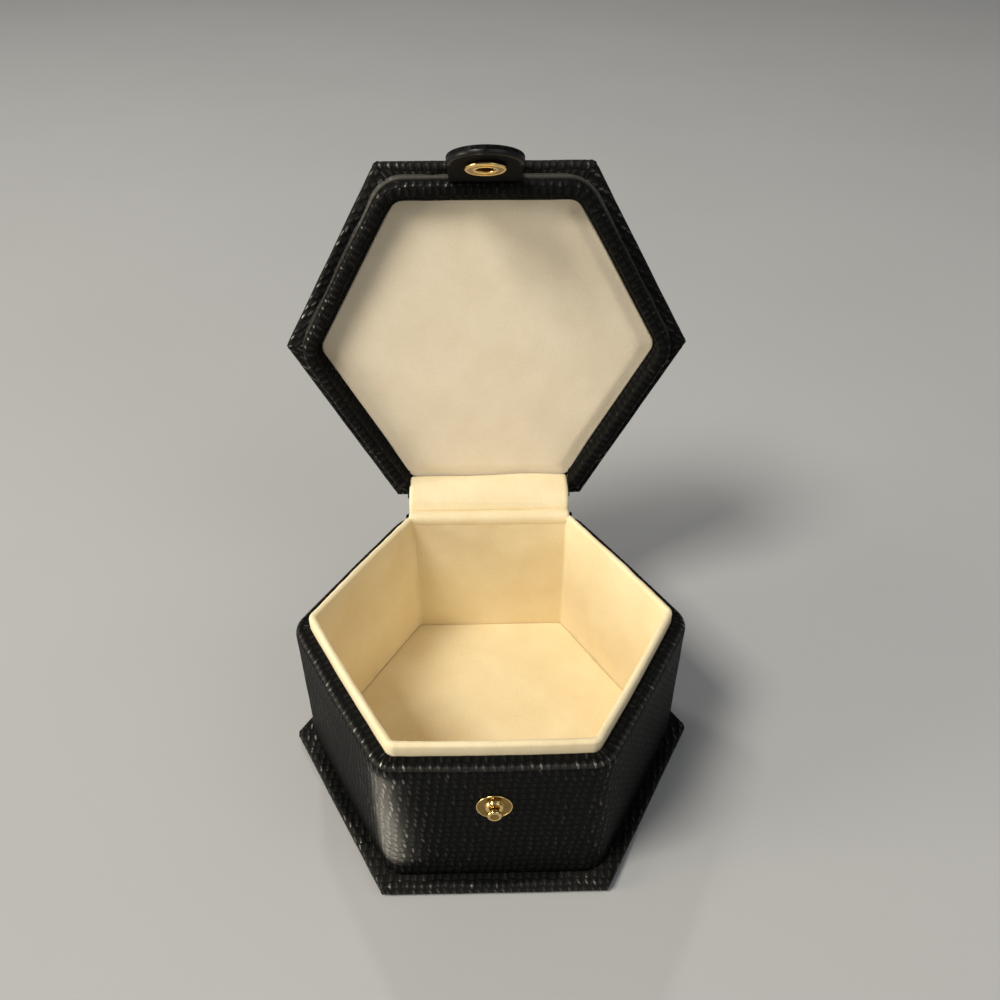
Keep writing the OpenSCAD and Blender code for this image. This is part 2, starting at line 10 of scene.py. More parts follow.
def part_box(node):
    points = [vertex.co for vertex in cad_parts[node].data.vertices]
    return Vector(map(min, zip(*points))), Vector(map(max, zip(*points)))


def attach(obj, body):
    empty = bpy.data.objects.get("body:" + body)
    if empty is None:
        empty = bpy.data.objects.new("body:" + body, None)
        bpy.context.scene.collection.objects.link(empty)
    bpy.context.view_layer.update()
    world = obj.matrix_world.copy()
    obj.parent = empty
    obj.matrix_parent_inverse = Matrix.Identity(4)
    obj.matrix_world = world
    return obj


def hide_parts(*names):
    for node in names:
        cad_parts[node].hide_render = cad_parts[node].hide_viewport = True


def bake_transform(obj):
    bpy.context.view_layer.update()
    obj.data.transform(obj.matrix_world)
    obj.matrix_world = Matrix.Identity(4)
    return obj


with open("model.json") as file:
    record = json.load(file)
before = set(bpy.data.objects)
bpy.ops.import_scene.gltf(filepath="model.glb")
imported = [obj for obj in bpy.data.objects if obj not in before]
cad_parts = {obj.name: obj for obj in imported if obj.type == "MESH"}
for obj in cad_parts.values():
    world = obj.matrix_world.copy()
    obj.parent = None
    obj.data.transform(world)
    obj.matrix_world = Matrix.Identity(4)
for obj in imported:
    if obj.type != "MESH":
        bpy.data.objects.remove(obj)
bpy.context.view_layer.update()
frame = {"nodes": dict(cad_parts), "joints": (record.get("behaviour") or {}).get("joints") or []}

MM = 0.001

# ---------------------------------------------------------------- places taken from the frame

JOINTS = {joint["name"]: joint for joint in frame["joints"]}
PIN = Vector(JOINTS["lid_hinge"]["pos_m"])
LID_OPEN = math.radians(JOINTS["lid_hinge"]["range_deg"][1])
BEND = Vector(JOINTS["tab_flex"]["pos_m"])


def turn_about(point, angle):
    """Turns about an X axis through a point."""
    return Matrix.Translation(point) @ Matrix.Rotation(angle, 4, "X") @ Matrix.Translation(-point)


OPENED = turn_about(PIN, -LID_OPEN)
CLOSED = turn_about(PIN, LID_OPEN)


def closed_box(node):
    """Lowest and highest corner of a lid node, with the lid closed."""
    points = np.array([CLOSED @ v.co for v in frame["nodes"][node].data.vertices])
    return Vector(points.min(0)), Vector(points.max(0))


# Each AP is an apothem, from the middle of a hexagon to the middle of its side.
PLATE_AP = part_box("base_wrap")[1].y
PLATE_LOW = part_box("base_wrap")[0].z
BASE_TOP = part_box("base_wrap")[1].z
PLATE_H = BASE_TOP - PLATE_LOW
BODY_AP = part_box("wall_wrap")[1].y
RIM_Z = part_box("wall_wrap")[1].z
LINER_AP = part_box("liner_velvet")[1].y
LINER_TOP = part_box("liner_velvet")[1].z
FLOOR_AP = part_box("floor_velvet")[1].y
FLOOR_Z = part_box("floor_velvet")[1].z
CAVITY_AP = FLOOR_AP + 0.1 * MM
LIP_Z = closed_box("frame_wrap")[0].z
LID_Z = closed_box("frame_wrap")[1].z
LINING_LOW = closed_box("lining_velvet")[0].z
TONGUE_Y = closed_box("lining_velvet")[1].y
NOTCH_X = 22.1 * MM        # where the lid's frame ends on each side of the hinge cover
COVER_LO, COVER_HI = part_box("hinge_cover")
STUD = Vector((0, -BODY_AP, (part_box("stud_flange")[0].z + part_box("stud_flange")[1].z) / 2))

# ---------------------------------------------------------------- sizes of the pieces

SKIN = 0.5 * MM            # thickness of the leatherette
NAP = 0.5 * MM             # thickness of the velvet
HUB = 0.4 * MM             # innermost ring of a flat piece
EDGE_R = 1.1 * MM          # rolled edge of the plates
PLATE_R = 1.2 * MM         # corners of the plates
BODY_R = 6 * MM            # upright corners of the wall
SHOULDER_R = 1.8 * MM      # rolled top edge of the wall
RIM_R = 0.4 * MM           # and the inner edge of its rim
BOARD_T = 2.5 * MM         # thickness of the wall's board
LIP_R = 1.6 * MM           # outer edge of the frame's lip
LIP_IN = 0.5 * MM          # and its inner edge
BEAD = 0.9 * MM            # bead round the lid's pad
COVE = 2 * MM              # height of the hollow below the bead
TURN_IN = 12 * MM          # leatherette turned in behind a plate
RIM_TURN = 6 * MM          # leatherette turned down inside the wall
VELVET_TURN = 8 * MM       # velvet turned down behind the lining
LID_CLEAR = 0.4 * MM       # gap between the closed lid's frame and the lining
WALL_IN_R = BODY_R - BOARD_T - 2 * SKIN
FRAME_IN = LINER_AP + LID_CLEAR
FRAME_IN_R = 4.4 * MM      # corners of the lid's frame, inside and out
FRAME_R = 8 * MM
PAD_CROWN = 0.20 * MM      # how far the lid's pad stands out in its middle
PAD_SWELL = 0.45 * MM      # the most that its stuffing adds
HINGE_SWELL = 0.35 * MM    # the most that the hinge cover's stuffing adds
BOW = 0.30 * MM            # how far the padded sides stand out in their middles
BEAD_FRONT = 0.85 * MM     # how much fuller the bead round the pad is at the front
BEAD_SIDE = 0.50 * MM      # and how much thinner on the right
FOOT = 0.9 * MM            # hollow where the frame meets the lid plate
LINER_T = LINER_AP - CAVITY_AP
CORNER = math.pi / 3       # angle from one corner of a hexagon to the next

SIDE_POINTS = 44           # steps along each side of a hexagon
CORNER_POINTS = 12         # steps round each corner


# ---------------------------------------------------------------- shader sockets

class Sock:
    """A shader socket: sums on it add Math nodes, and node() adds any other node."""

    def __init__(self, tree, socket=None):
        self.tree = tree
        self.socket = socket

    def node(self, kind, settings=None, inputs=None, output=0):
        made = self.tree.nodes.new("ShaderNode" + kind)
        for key, value in (settings or {}).items():
            setattr(made, key, value)
        for key, value in (inputs or {}).items():
            if isinstance(value, Sock):
                self.tree.links.new(value.socket, made.inputs[key])
            else:
                made.inputs[key].default_value = value
        return Sock(self.tree, made.outputs[output])

    def math(self, operation, *values):
        return self.node("Math", {"operation": operation}, dict(enumerate(values)))

    def __add__(self, other):
        return self.math("ADD", self, other)

    def __sub__(self, other):
        return self.math("SUBTRACT", self, other)

    def __rsub__(self, other):
        return self.math("SUBTRACT", other, self)

    def __mul__(self, other):
        return self.math("MULTIPLY", self, other)

    __radd__ = __add__
    __rmul__ = __mul__

    def step(self, low, high):
        """0 below low, 1 above high, and a smooth rise between them."""
        return self.node("MapRange", {"interpolation_type": "SMOOTHSTEP"},
                         {"Value": self, "From Min": low, "From Max": high})

    def tint(self, dark, light):
        """A colour between two, by this value."""
        return self.node("Mix", {"data_type": "RGBA"}, {0: self, 6: (*dark, 1), 7: (*light, 1)}, 2)


def grain(place, scale, detail=3.0, roughness=0.55):
    """Noise of a given scale, in cells per metre."""
    return place.node("TexNoise", {}, {"Vector": place, "Scale": scale, "Detail": detail,
                                       "Roughness": roughness})


def bump(height, depth):
    """A normal bent by a height from 0 to 1, which stands for a depth in metres."""
    return height.node("Bump", {}, {"Height": height, "Distance": depth, "Strength": 1.0})


def finish(name, colour, roughness, normal, fixed=None, coat=None, metal=None):
    """A material of one Principled shader, from its varying sockets and its fixed numbers."""
    made = bpy.data.materials[name]
    surface = made.node_tree.nodes["Principled BSDF"]
    varying = {"Base Color": colour, "Roughness": roughness, "Normal": normal, "Coat Weight": coat,
               "Metallic": metal}
    for key, value in varying.items():
        if value is not None:
            made.node_tree.links.new(value.socket, surface.inputs[key])
    for key, value in (fixed or {}).items():
        surface.inputs[key].default_value = value
    return made


def blank(name):
    """A new material, and a socket wrapper on its tree."""
    made = bpy.data.materials.new(name)
    made.use_nodes = True
    return Sock(made.node_tree)


def painted_light(start):
    """How much light is painted on a place, up to 1, or, below 0, how smooth it is drawn."""
    return start.node("Attribute", {"attribute_name": "painted_light"}, output="Fac")


def laid(start):
    """Where a point lies on the flat leather or cloth, in metres."""
    return start.node("Attribute", {"attribute_name": "lay"}, output="Vector")


def solid_place(start):
    """Where a point lies in the object, in metres."""
    return start.node("TexCoord", output="Object")


# ---------------------------------------------------------------- finishes

SCALE_W = 1.87 * MM        # pitch of the embossed scales along a row
SCALE_H = 2.0 * MM         # and from row to row
ROW_SLIP = -0.12           # sideways slip of the rows, for their height
ROW_DRIFT = (0.9 * MM, 0.7 * MM, 0)    # how far the rows wander
STROKE_LEAN = 0.29         # lean of the painted glint mark on each scale
STROKE_W = 0.15            # its half width and half height, in pitches
STROKE_H = 0.50
EMBOSSING = 0.20 * MM      # depth of the scales
PAINTED_HIGHLIGHT_COLOUR = (0.62, 0.59, 0.52)    # what the painted highlight marks reflect


def leaning(place, lean):
    """A place on the leather, sheared sideways by its height."""
    height = place.node("SeparateXYZ", {}, {"Vector": place}, "Y")
    side = height.node("CombineXYZ", {}, {"X": height * lean})
    return side.node("VectorMath", {"operation": "ADD"}, {0: place, 1: side})


def lizard():
    """Black leatherette, embossed with rows of small domed scales, each with a painted glint mark. Where a
    piece marks it above 0, highlights and reflections are painted on as a shiny dark metal, and below 0 it is
    drawn smooth, with a painted sheen."""
    start = blank("lizard_leatherette")
    lay = laid(start)
    drift = lay.node("TexNoise", {"noise_dimensions": "2D"}, {"Vector": lay, "Scale": 260.0, "Detail": 1.0},
                     "Color")
    place = drift.node("VectorMath", {"operation": "MULTIPLY_ADD"}, {0: drift, 1: ROW_DRIFT, 2: lay})
    rows = place.node("Mapping", {}, {"Vector": leaning(place, ROW_SLIP),
                                      "Scale": (1 / SCALE_W, 1 / SCALE_H, 1)})
    cell = {"Vector": rows, "Scale": 1.0, "Randomness": 0.30}
    nearest = {"voronoi_dimensions": "2D", "feature": "F1"}
    gap = rows.node("TexVoronoi", {"voronoi_dimensions": "2D", "feature": "DISTANCE_TO_EDGE"}, cell)
    middle = rows.node("TexVoronoi", nearest, cell, "Position")
    each = rows.node("TexVoronoi", nearest, cell, "Color")
    each = each.node("SeparateColor", {}, {"Color": each})
    local = rows.node("VectorMath", {"operation": "SUBTRACT"}, {0: rows, 1: middle})
    across = local.node("SeparateXYZ", {}, {"Vector": local}, "X")
    along = local.node("SeparateXYZ", {}, {"Vector": local}, "Y")
    side = (across + along * STROKE_LEAN) * (1 / STROKE_W)
    reach = along * (1 / STROKE_H)
    stroke = 1 - (side * side + reach * reach).step(0.25, 1.3)
    crown = gap.step(0.0, 0.20)
    dome = 1 - (across * across + along * along).step(0.02, 0.34)
    pores = grain(lay, 7000, 2)
    painted_light_level = painted_light(start)
    drawn = (0 - painted_light_level).step(0.0, 1.0)
    painted_highlight = painted_light_level.step(0.0, 1.0)
    height = (dome * 0.38 + crown * 0.30 + stroke * 0.22 + pores * 0.05 + each * 0.09) * (1 - drawn)
    wear_and_glint_patches = grain(lay, 90, 4)
    shine = 0.50 + grain(lay, 700) * 0.14 - stroke * 0.12 - painted_highlight * 0.14 + drawn * 0.12
    # Base colour: darker in the grooves, with random tone, and a little lighter on each glint mark as a
    # painted highlight.
    colour = crown * 0.35 + stroke * 0.30 + wear_and_glint_patches * 0.35
    colour = colour.tint((0.0016, 0.0017, 0.0016), (0.0078, 0.0080, 0.0074))
    rare = each * each
    rare = rare * rare
    # The gloss paints highlights and reflections: faint glints on the scale marks and rare flecks, strong
    # ones where a piece marks them, and a sheen where the leather is drawn smooth; there the leather reflects
    # like a shiny dark metal.
    flecks = rare * wear_and_glint_patches.step(0.38, 0.62) * 0.04
    even = painted_highlight * painted_highlight * (0.25 + each * 0.60)
    gloss = stroke * (0.003 + flecks + painted_highlight * (0.03 + rare * 0.9) + even)
    gloss = gloss + painted_highlight * painted_highlight * painted_highlight * 0.62 + drawn * 0.15
    colour = gloss.node("Mix", {"data_type": "RGBA"}, {0: gloss, 6: colour, 7: (*PAINTED_HIGHLIGHT_COLOUR, 1)}, 2)
    return finish("lizard_leatherette", colour, shine, bump(height, EMBOSSING),
                  {"Specular IOR Level": 0.06}, None, gloss.step(0.0, 0.10))


def lining_leather():
    """Smooth black leather on the inside of the tab, with a painted glint along the edge of its round end,
    strongest at one place.
    """
    start = blank("tab_lining_leather")
    lay = laid(start)
    cloud = grain(lay, 300, 4)
    height = cloud * 0.4 + grain(lay, 3000, 3) * 0.2
    colour = cloud.tint((0.005, 0.005, 0.0055), (0.012, 0.012, 0.0125))
    return finish("tab_lining_leather", colour, 0.55 + cloud * 0.2, bump(height, 0.12 * MM),
                  {"Specular IOR Level": 0.02, "Coat Roughness": 0.28}, painted_light(start))


def velvet(name, shade, bright, sheen):
    """Short velvet pile: fine nap, soft brushed patches and a faint sheen."""
    start = blank(name)
    lay = laid(start)
    patch = grain(lay, 85, 3)
    fleck = grain(lay, 1500, 2)
    pile = grain(lay, 5200, 3, 0.7)
    colour = (patch * 0.5 + fleck * 0.3 + pile * 0.2).step(0.25, 0.75).tint(shade, bright)
    height = pile * 0.55 + fleck * 0.30 + patch * 0.15
    return finish(name, colour, 0.88 + pile * 0.1, bump(height, 0.10 * MM),
                  {"Sheen Weight": sheen, "Sheen Roughness": 0.45, "Sheen Tint": (1.0, 0.96, 0.88, 1),
                   "Specular IOR Level": 0.15})


def plated(name, dark, light, rough, painted_light_marks=False):
    """Plated metal with faint polishing marks and, if asked, painted shade in the recesses that a piece
    marks.
    """
    start = blank(name)
    place = solid_place(start)
    cloud = grain(place, 500, 4)
    rub = place.node("Mapping", {}, {"Vector": place, "Scale": (1, 8, 1)})
    marks = grain(rub, 2500, 3)
    # painted shade: darker where the painted light is low, as in the recesses
    bright = cloud * 0.3 + painted_light(start) * 0.7 if painted_light_marks else cloud
    colour = bright.tint(dark, light)
    rough = rough + cloud * 0.10 + marks * 0.06
    return finish(name, colour, rough, bump(marks, 0.004 * MM), {"Metallic": 1.0})


def board(name, dark, light, fibre):
    """Raw board or card: pressed fibres and flecks."""
    start = blank(name)
    place = solid_place(start)
    drawn = place.node("Mapping", {}, {"Vector": place, "Scale": (1, 3, 1)})
    fibres = grain(drawn, fibre, 4, 0.7)
    flecks = place.node("TexVoronoi", {"feature": "F1"}, {"Vector": place, "Scale": 1400.0})
    colour = (fibres * 0.7 + flecks * 0.3).tint(dark, light)
    return finish(name, colour, 0.8 + fibres * 0.15, bump(fibres, 0.06 * MM))


def felted():
    """Black wool felt under the base."""
    start = blank("base_felt")
    lay = laid(start)
    hairs = grain(lay, 2600, 5, 0.75)
    tufts = grain(lay, 500, 2)
    colour = (hairs * 0.7 + tufts * 0.3).tint((0.008, 0.008, 0.009), (0.045, 0.045, 0.048))
    return finish("base_felt", colour, 0.9 + hairs * 0.08, bump(hairs, 0.12 * MM), {"Sheen Weight": 0.2})


LIZARD = lizard()
TAB_LINING = lining_leather()
CREAM = velvet("cream_velvet", (0.87, 0.71, 0.42), (0.97, 0.85, 0.57), 0.25)
PAD_CREAM = velvet("lid_velvet", (0.80, 0.69, 0.50), (0.90, 0.80, 0.62), 0.25)
GOLD = plated("polished_gold", (0.20, 0.11, 0.012), (1.0, 0.72, 0.30), 0.06, True)
STEEL = plated("spring_steel", (0.50, 0.50, 0.52), (0.64, 0.64, 0.66), 0.24)
FIBREBOARD = board("pressed_fibreboard", (0.30, 0.20, 0.12), (0.52, 0.39, 0.25), 900)
GREYBOARD = board("grey_card", (0.30, 0.29, 0.27), (0.48, 0.46, 0.43), 1300)
FELT = felted()


# ---------------------------------------------------------------- meshes

def arc(centre, radius, first, last, steps):
    """Points of an arc in a profile, from one angle to another in degrees."""
    turns = np.radians(np.linspace(first, last, steps + 1))
    return [(centre[0] + radius * math.cos(t), centre[1] + radius * math.sin(t)) for t in turns]


def refine(profile, spacing):
    """A profile with points added along its long straight stretches."""
    out = [profile[0]]
    for before, after in zip(profile, profile[1:]):
        length = math.dist(before, after)
        steps = max(1, round(length / spacing))
        for i in range(1, steps + 1):
            out.append(tuple(b + (a - b) * i / steps for b, a in zip(before, after)))
    return out


def hexagon(apothem, radius, clip=None):
    """Points of a rounded hexagon, anticlockwise; clip leaves its back side open from -clip to clip."""
    centre = (apothem - radius) / math.cos(math.pi / 6)
    corners = [(60 * k, 60 * k - 30, 60 * k + 30) for k in range(6)]
    if clip:
        end = math.degrees(math.acos(min(1, (clip - centre / 2) / radius)))
        corners = [(120, 180 - end, 150)] + [(60 * k, 60 * k - 30, 60 * k + 30) for k in range(3, 7)]
        corners.append((420, 390, 360 + end))
    arcs = []
    for at, first, last in corners:
        turns = np.radians(np.linspace(first, last, CORNER_POINTS + 1))
        middle = centre * np.array([math.cos(math.radians(at)), math.sin(math.radians(at))])
        arcs.append(middle + radius * np.stack([np.cos(turns), np.sin(turns)], 1))
    share = (0.5 - 0.5 * np.cos(np.pi * np.arange(1, SIDE_POINTS) / SIDE_POINTS))[:, None]
    points = [arcs[0]]
    for before, after in zip(arcs, arcs[1:]):
        points += [before[-1] + share * (after[0] - before[-1]), after]
    if not clip:
        points.append(arcs[-1][-1] + share * (arcs[0][0] - arcs[-1][-1]))
    return np.concatenate(points)


def lengths(points):
    """Distance along a line of points, from its start."""
    return np.concatenate([[0], np.cumsum(np.linalg.norm(np.diff(points, axis=0), axis=1))])


def make_object(name, points, faces, lay, material, smooth=180, painted_light_marks=None):
    """A mesh object with smooth shading below an angle in degrees. Its lay has one value for each corner of
    each face, and its painted light one for each point."""
    mesh = bpy.data.meshes.new(name)
    mesh.from_pydata([tuple(p) for p in points], [], faces)
    attribute = mesh.attributes.new("lay", "FLOAT_VECTOR", "CORNER")
    flat = np.zeros((len(lay), 3), np.float32)
    flat[:, :lay.shape[1]] = lay
    attribute.data.foreach_set("vector", flat.ravel())
    if painted_light_marks is not None:
        wear_and_glint_patches = mesh.attributes.new("painted_light", "FLOAT", "POINT")
        wear_and_glint_patches.data.foreach_set("value", painted_light_marks.astype(np.float32).ravel())
    mesh.polygons.foreach_set("use_smooth", [True] * len(mesh.polygons))
    mesh.materials.append(material)
    mesh.validate()
    made = bpy.data.objects.new(name, mesh)
    bpy.context.scene.collection.objects.link(made)
    if smooth < 180:
        mesh.set_sharp_from_angle(angle=math.radians(smooth))
    return made


def volume_of(points, faces):
    """Signed volume of a closed mesh."""
    points = np.asarray(points)
    total = 0.0
    for face in faces:
        a = points[face[0]]
        for i in range(1, len(face) - 1):
            total += np.dot(a, np.cross(points[face[i]], points[face[i + 1]]))
    return total / 6


def grid_object(name, grid, lay, material, place=None, around=False, along=False, caps="", smooth=180,
                painted_light_marks=None):
    """A closed mesh on a grid of rings. around and along close it in its two directions; caps fills the
    first and last ring ("rings") or the first and last column ("columns")."""
    rows, columns = grid.shape[:2]
    points = grid.reshape(-1, 3)
    faces, corners = [], []
    for i in range(rows if along else rows - 1):
        for j in range(columns if around else columns - 1):
            i2, j2 = (i + 1) % rows, (j + 1) % columns
            faces.append([i * columns + j, i * columns + j2, i2 * columns + j2, i2 * columns + j])
            corners.append([lay[i, j], lay[i, j + 1], lay[i + 1, j + 1], lay[i + 1, j]])
    ends = []
    if caps == "rings":
        ends = [[(0, j) for j in reversed(range(columns))], [(rows - 1, j) for j in range(columns)]]
    if caps == "columns":
        ends = [[(i, 0) for i in range(rows)], [(i, columns - 1) for i in reversed(range(rows))]]
    for end in ends:
        faces.append([i * columns + j for i, j in end])
        corners.append([lay[i, j] for i, j in end])
    if volume_of(points, faces) < 0:
        faces = [face[::-1] for face in faces]
        corners = [corner[::-1] for corner in corners]
    if place is not None:
        turn = np.array(place)
        points = points @ turn[:3, :3].T + turn[:3, 3]
    lay = np.array([c for corner in corners for c in corner])
    return make_object(name, points, faces, lay, material, smooth, painted_light_marks)


def grid_normals(grid, around):
    """Unit normals of a grid of rings, which point out of it."""
    down = np.gradient(grid, axis=0)
    if around:
        side = np.roll(grid, -1, 1) - np.roll(grid, 1, 1)
    else:
        side = np.gradient(grid, axis=1)
    normals = np.cross(side, down)
    size = np.linalg.norm(normals, axis=2, keepdims=True)
    return normals / np.maximum(size, 1e-12)


CLOTH_SIZE = 20.0          # how many times its size a cloth is simulated at
CLOTH_STEPS = 20
STUFFING = 4.0             # pressure of the stuffing


def swollen(grid, held, limit, around):
    """How far stuffing pushes each point of a sheet of cloth out, by a simulation of the cloth, which is held
    at some of its points. No point moves further than the limit. around says that the rings are closed."""
    rows, columns = grid.shape[:2]
    faces = []
    for i in range(rows - 1):
        for j in range(columns if around else columns - 1):
            j2 = (j + 1) % columns
            faces.append([i * columns + j, i * columns + j2, (i + 1) * columns + j2, (i + 1) * columns + j])
    mesh = bpy.data.meshes.new("cloth_trial")
    mesh.from_pydata([tuple(p) for p in grid.reshape(-1, 3) * CLOTH_SIZE], [], faces)
    trial = bpy.data.objects.new("cloth_trial", mesh)
    bpy.context.scene.collection.objects.link(trial)
    pins = trial.vertex_groups.new(name="held")
    pins.add([int(i) for i in np.flatnonzero(held.ravel())], 1.0, "ADD")
    cloth = trial.modifiers.new("cloth", "CLOTH")
    cloth.settings.vertex_group_mass = "held"
    cloth.settings.use_pressure = True
    cloth.settings.uniform_pressure_force = STUFFING
    cloth.settings.effector_weights.gravity = 0.0
    cloth.settings.quality = 5
    for step in range(1, CLOTH_STEPS + 1):
        bpy.context.scene.frame_set(step)
    settled = trial.evaluated_get(bpy.context.evaluated_depsgraph_get()).data
    points = np.zeros(len(settled.vertices) * 3, np.float32)
    settled.vertices.foreach_get("co", points)
    bpy.context.scene.frame_set(1)
    bpy.data.objects.remove(trial)
    bpy.data.meshes.remove(mesh)
    moved = points.reshape(grid.shape) / CLOTH_SIZE - grid
    far = np.linalg.norm(moved, axis=2, keepdims=True)
    return moved * np.minimum(1, limit / np.maximum(far, 1e-9))


def hex_grid(profile, radius, reference, clip=None):
    """Rings through a profile of (apothem, height), with the corner radius given at a reference apothem."""
    rings = []
    for apothem, height in profile:
        r = max(radius + apothem - reference, min(0.25 * MM, 0.6 * apothem))
        ring = hexagon(apothem, r, clip)
        rings.append(np.column_stack([ring, np.full(len(ring), height)]))
    return np.array(rings)


def round_lay(grid, profile, around):
    """Lay of a band wrapped round the hexagon: distance round it, and distance along the profile."""
    middle = grid[len(grid) // 2]
    if around:
        middle = np.concatenate([middle, middle[:1]])
    u = lengths(middle)
    v = lengths(np.array(profile + [profile[0]]))
    u = u if around else np.append(u, u[-1])
    return np.stack(np.meshgrid(u, v), 2)


def flat_lay(grid, profile, turn):
    """Lay of a sheet laid flat over a plate and folded round its edge after profile point turn."""
    around = np.concatenate([grid, grid[:, :1]], 1)
    foot = around[turn, :, :2]
    side = np.roll(grid[turn, :, :2], -1, 0) - np.roll(grid[turn, :, :2], 1, 0)
    out = np.stack([side[:, 1], -side[:, 0]], 1)
    out /= np.linalg.norm(out, axis=1, keepdims=True)
    out = np.concatenate([out, out[:1]])
    v = lengths(np.array(profile + [profile[0]]))
    rows = [around[i, :, :2] if i <= turn else foot + out * (v[i] - v[turn]) for i in range(len(grid))]
    rows.append(rows[-1])
    return np.array(rows)


def wander(points, cell, seed):
    """Smooth noise from -1 to 1 at each point, in cells of a given size."""
    shift = Vector((seed * 7.31, seed * 3.17, seed * 5.71))
    flat = points.reshape(-1, 3)
    values = [noise.noise(Vector(p) / cell + shift) for p in flat]
    return np.array(values).reshape(points.shape[:-1])


def rise(values, low, high):
    """Smooth rise from 0 to 1 between two values."""
    t = np.clip((values - low) / (high - low), 0, 1)
    return t * t * (3 - 2 * t)


def bell(values, width):
    """A smooth hump of height 1 where the values are 0, which fades at about a width from there."""
    return np.exp(-(values / width) ** 2)


def polar(grid):
    """Angle of each point about the upright axis, and its distance from the axis."""
    return np.arctan2(grid[..., 1], grid[..., 0]), np.hypot(grid[..., 0], grid[..., 1])


def bow(grid, amount):
    """Moves the middles of a hexagon's sides outwards, but not the back side's."""
    angle, reach = polar(grid)
    side = angle % CORNER - CORNER / 2
    share = 1 - (np.tan(side) / math.tan(CORNER / 2)) ** 2
    back = np.abs(angle - math.pi / 2) < CORNER / 2
    grid[..., :2] *= (1 + np.where(back, 0, amount * share) / reach)[..., None]


def past_corner(grid):
    """How far each point of a hexagonal piece lies past the nearest corner's line: below 0 before it."""
    angle, reach = polar(grid)
    return reach * np.sin((angle + CORNER / 2) % CORNER - CORNER / 2)


def dress(piece, body, slot, *nodes):
    """The piece rides on a body and stands for CAD nodes. Its finish slot is not used."""
    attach(piece, body)
    if nodes:
        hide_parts(*nodes)


# ---------------------------------------------------------------- plates

def plate_profile():
    """From the middle of the outer face, over the edge and under it, and back inside the skin."""
    ap, high = PLATE_AP, PLATE_H
    inside = EDGE_R - SKIN
    outer = [(HUB, high)] + refine([(12 * MM, high), (ap - EDGE_R, high)], 2 * MM)
    turn = len(outer) - 1
    outer += arc((ap - EDGE_R, high - EDGE_R), EDGE_R, 90, 0, 9)[1:]
    outer += arc((ap - EDGE_R, EDGE_R), EDGE_R, 0, -90, 9)
    outer += refine([(ap - EDGE_R, 0), (ap - TURN_IN, 0)], 0.7 * MM)[1:]
    inner = [(ap - TURN_IN, SKIN)]
    inner += [(ap - SKIN - inside, SKIN), (ap - SKIN, SKIN + inside), (ap - SKIN, high - SKIN - inside)]
    inner += [(ap - SKIN - inside, high - SKIN), (12 * MM, high - SKIN), (HUB, high - SKIN)]
    return outer + inner, turn, len(outer)


def plate_skin(name, place, body, node, seed):
    """Leatherette over a plate: rolled edges, faint ripples, pleats that spread from each corner, and a fold
    at each corner of the turned-in side."""
    profile, turn, outer = plate_profile()
    grid = hex_grid(profile, PLATE_R, PLATE_AP)
    lay = flat_lay(grid, profile, turn)
    normals = grid_normals(grid, True)
    ripple = 0.07 * MM * wander(grid, 7 * MM, seed) + 0.035 * MM * wander(grid, 2.2 * MM, seed + 1)
    reach = polar(grid)[1]
    off = past_corner(grid)
    under = 1 - rise(grid[..., 2], 0.2 * PLATE_H, 0.75 * PLATE_H)
    fold = -0.22 * MM * bell(off, 0.22 * MM) + 0.10 * MM * bell(off - 0.6 * MM, 0.5 * MM)
    near = bell(reach - PLATE_AP / math.cos(CORNER / 2), 6 * MM)
    spread = np.sin(off / (0.42 * MM) * 2.2 + seed) * bell(off, 1.8 * MM)
    pleats = 0.07 * MM * spread * bell(reach - PLATE_AP * 1.14, 2.2 * MM)
    shift = ripple + fold * under * near + pleats
    shift[outer:] = 0
    shift[0] = 0
    grid += np.clip(shift, -0.3 * MM, 0.12 * MM)[..., None] * normals
    # painted sparkle along the rolled edge, weaker to the right
    painted_light_marks = 0.34 * rise(reach, PLATE_AP - EDGE_R, PLATE_AP - 0.2 * MM)
    painted_light_marks *= 1 - 0.4 * rise(grid[..., 0], 20 * MM, 40 * MM)
    piece = grid_object(name, grid, lay, LIZARD, place, around=True, caps="rings", painted_light_marks=painted_light_marks)
    dress(piece, body, "leatherette", node)


plate_skin("base_skin", Matrix.Translation((0, 0, PLATE_LOW)), "box", "base_wrap", 1)
plate_skin("lid_skin", OPENED @ Matrix.Translation((0, 0, LID_Z)), "lid", "lid_wrap", 2)


def felt_sheet():
    """Felt under the base: a soft-edged sheet with a thicker middle that fills the leatherette's window."""
    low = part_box("base_pad")[0].z
    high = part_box("base_pad")[1].z
    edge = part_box("base_pad")[1].y
    soft = 0.2 * MM
    window = PLATE_AP - TURN_IN - 0.1 * MM
    profile = [(HUB, low)] + refine([(4 * MM, low), (edge - soft, low)], 1.5 * MM)
    profile += arc((edge - soft, low + soft), soft, -90, 90, 6)[1:]
    profile += [(window, PLATE_LOW), (window, high), (HUB, high)]
    grid = hex_grid(profile, PLATE_R, edge)
    lay = flat_lay(grid, profile, len(profile) - 1)
    grid[1:-4, :, 2] += 0.03 * MM * (1 + wander(grid[1:-4], 3 * MM, 3))
    piece = grid_object("base_felt_sheet", grid, lay, FELT, around=True, caps="rings")
    dress(piece, "box", "felt", "base_pad")


felt_sheet()


# ---------------------------------------------------------------- wall

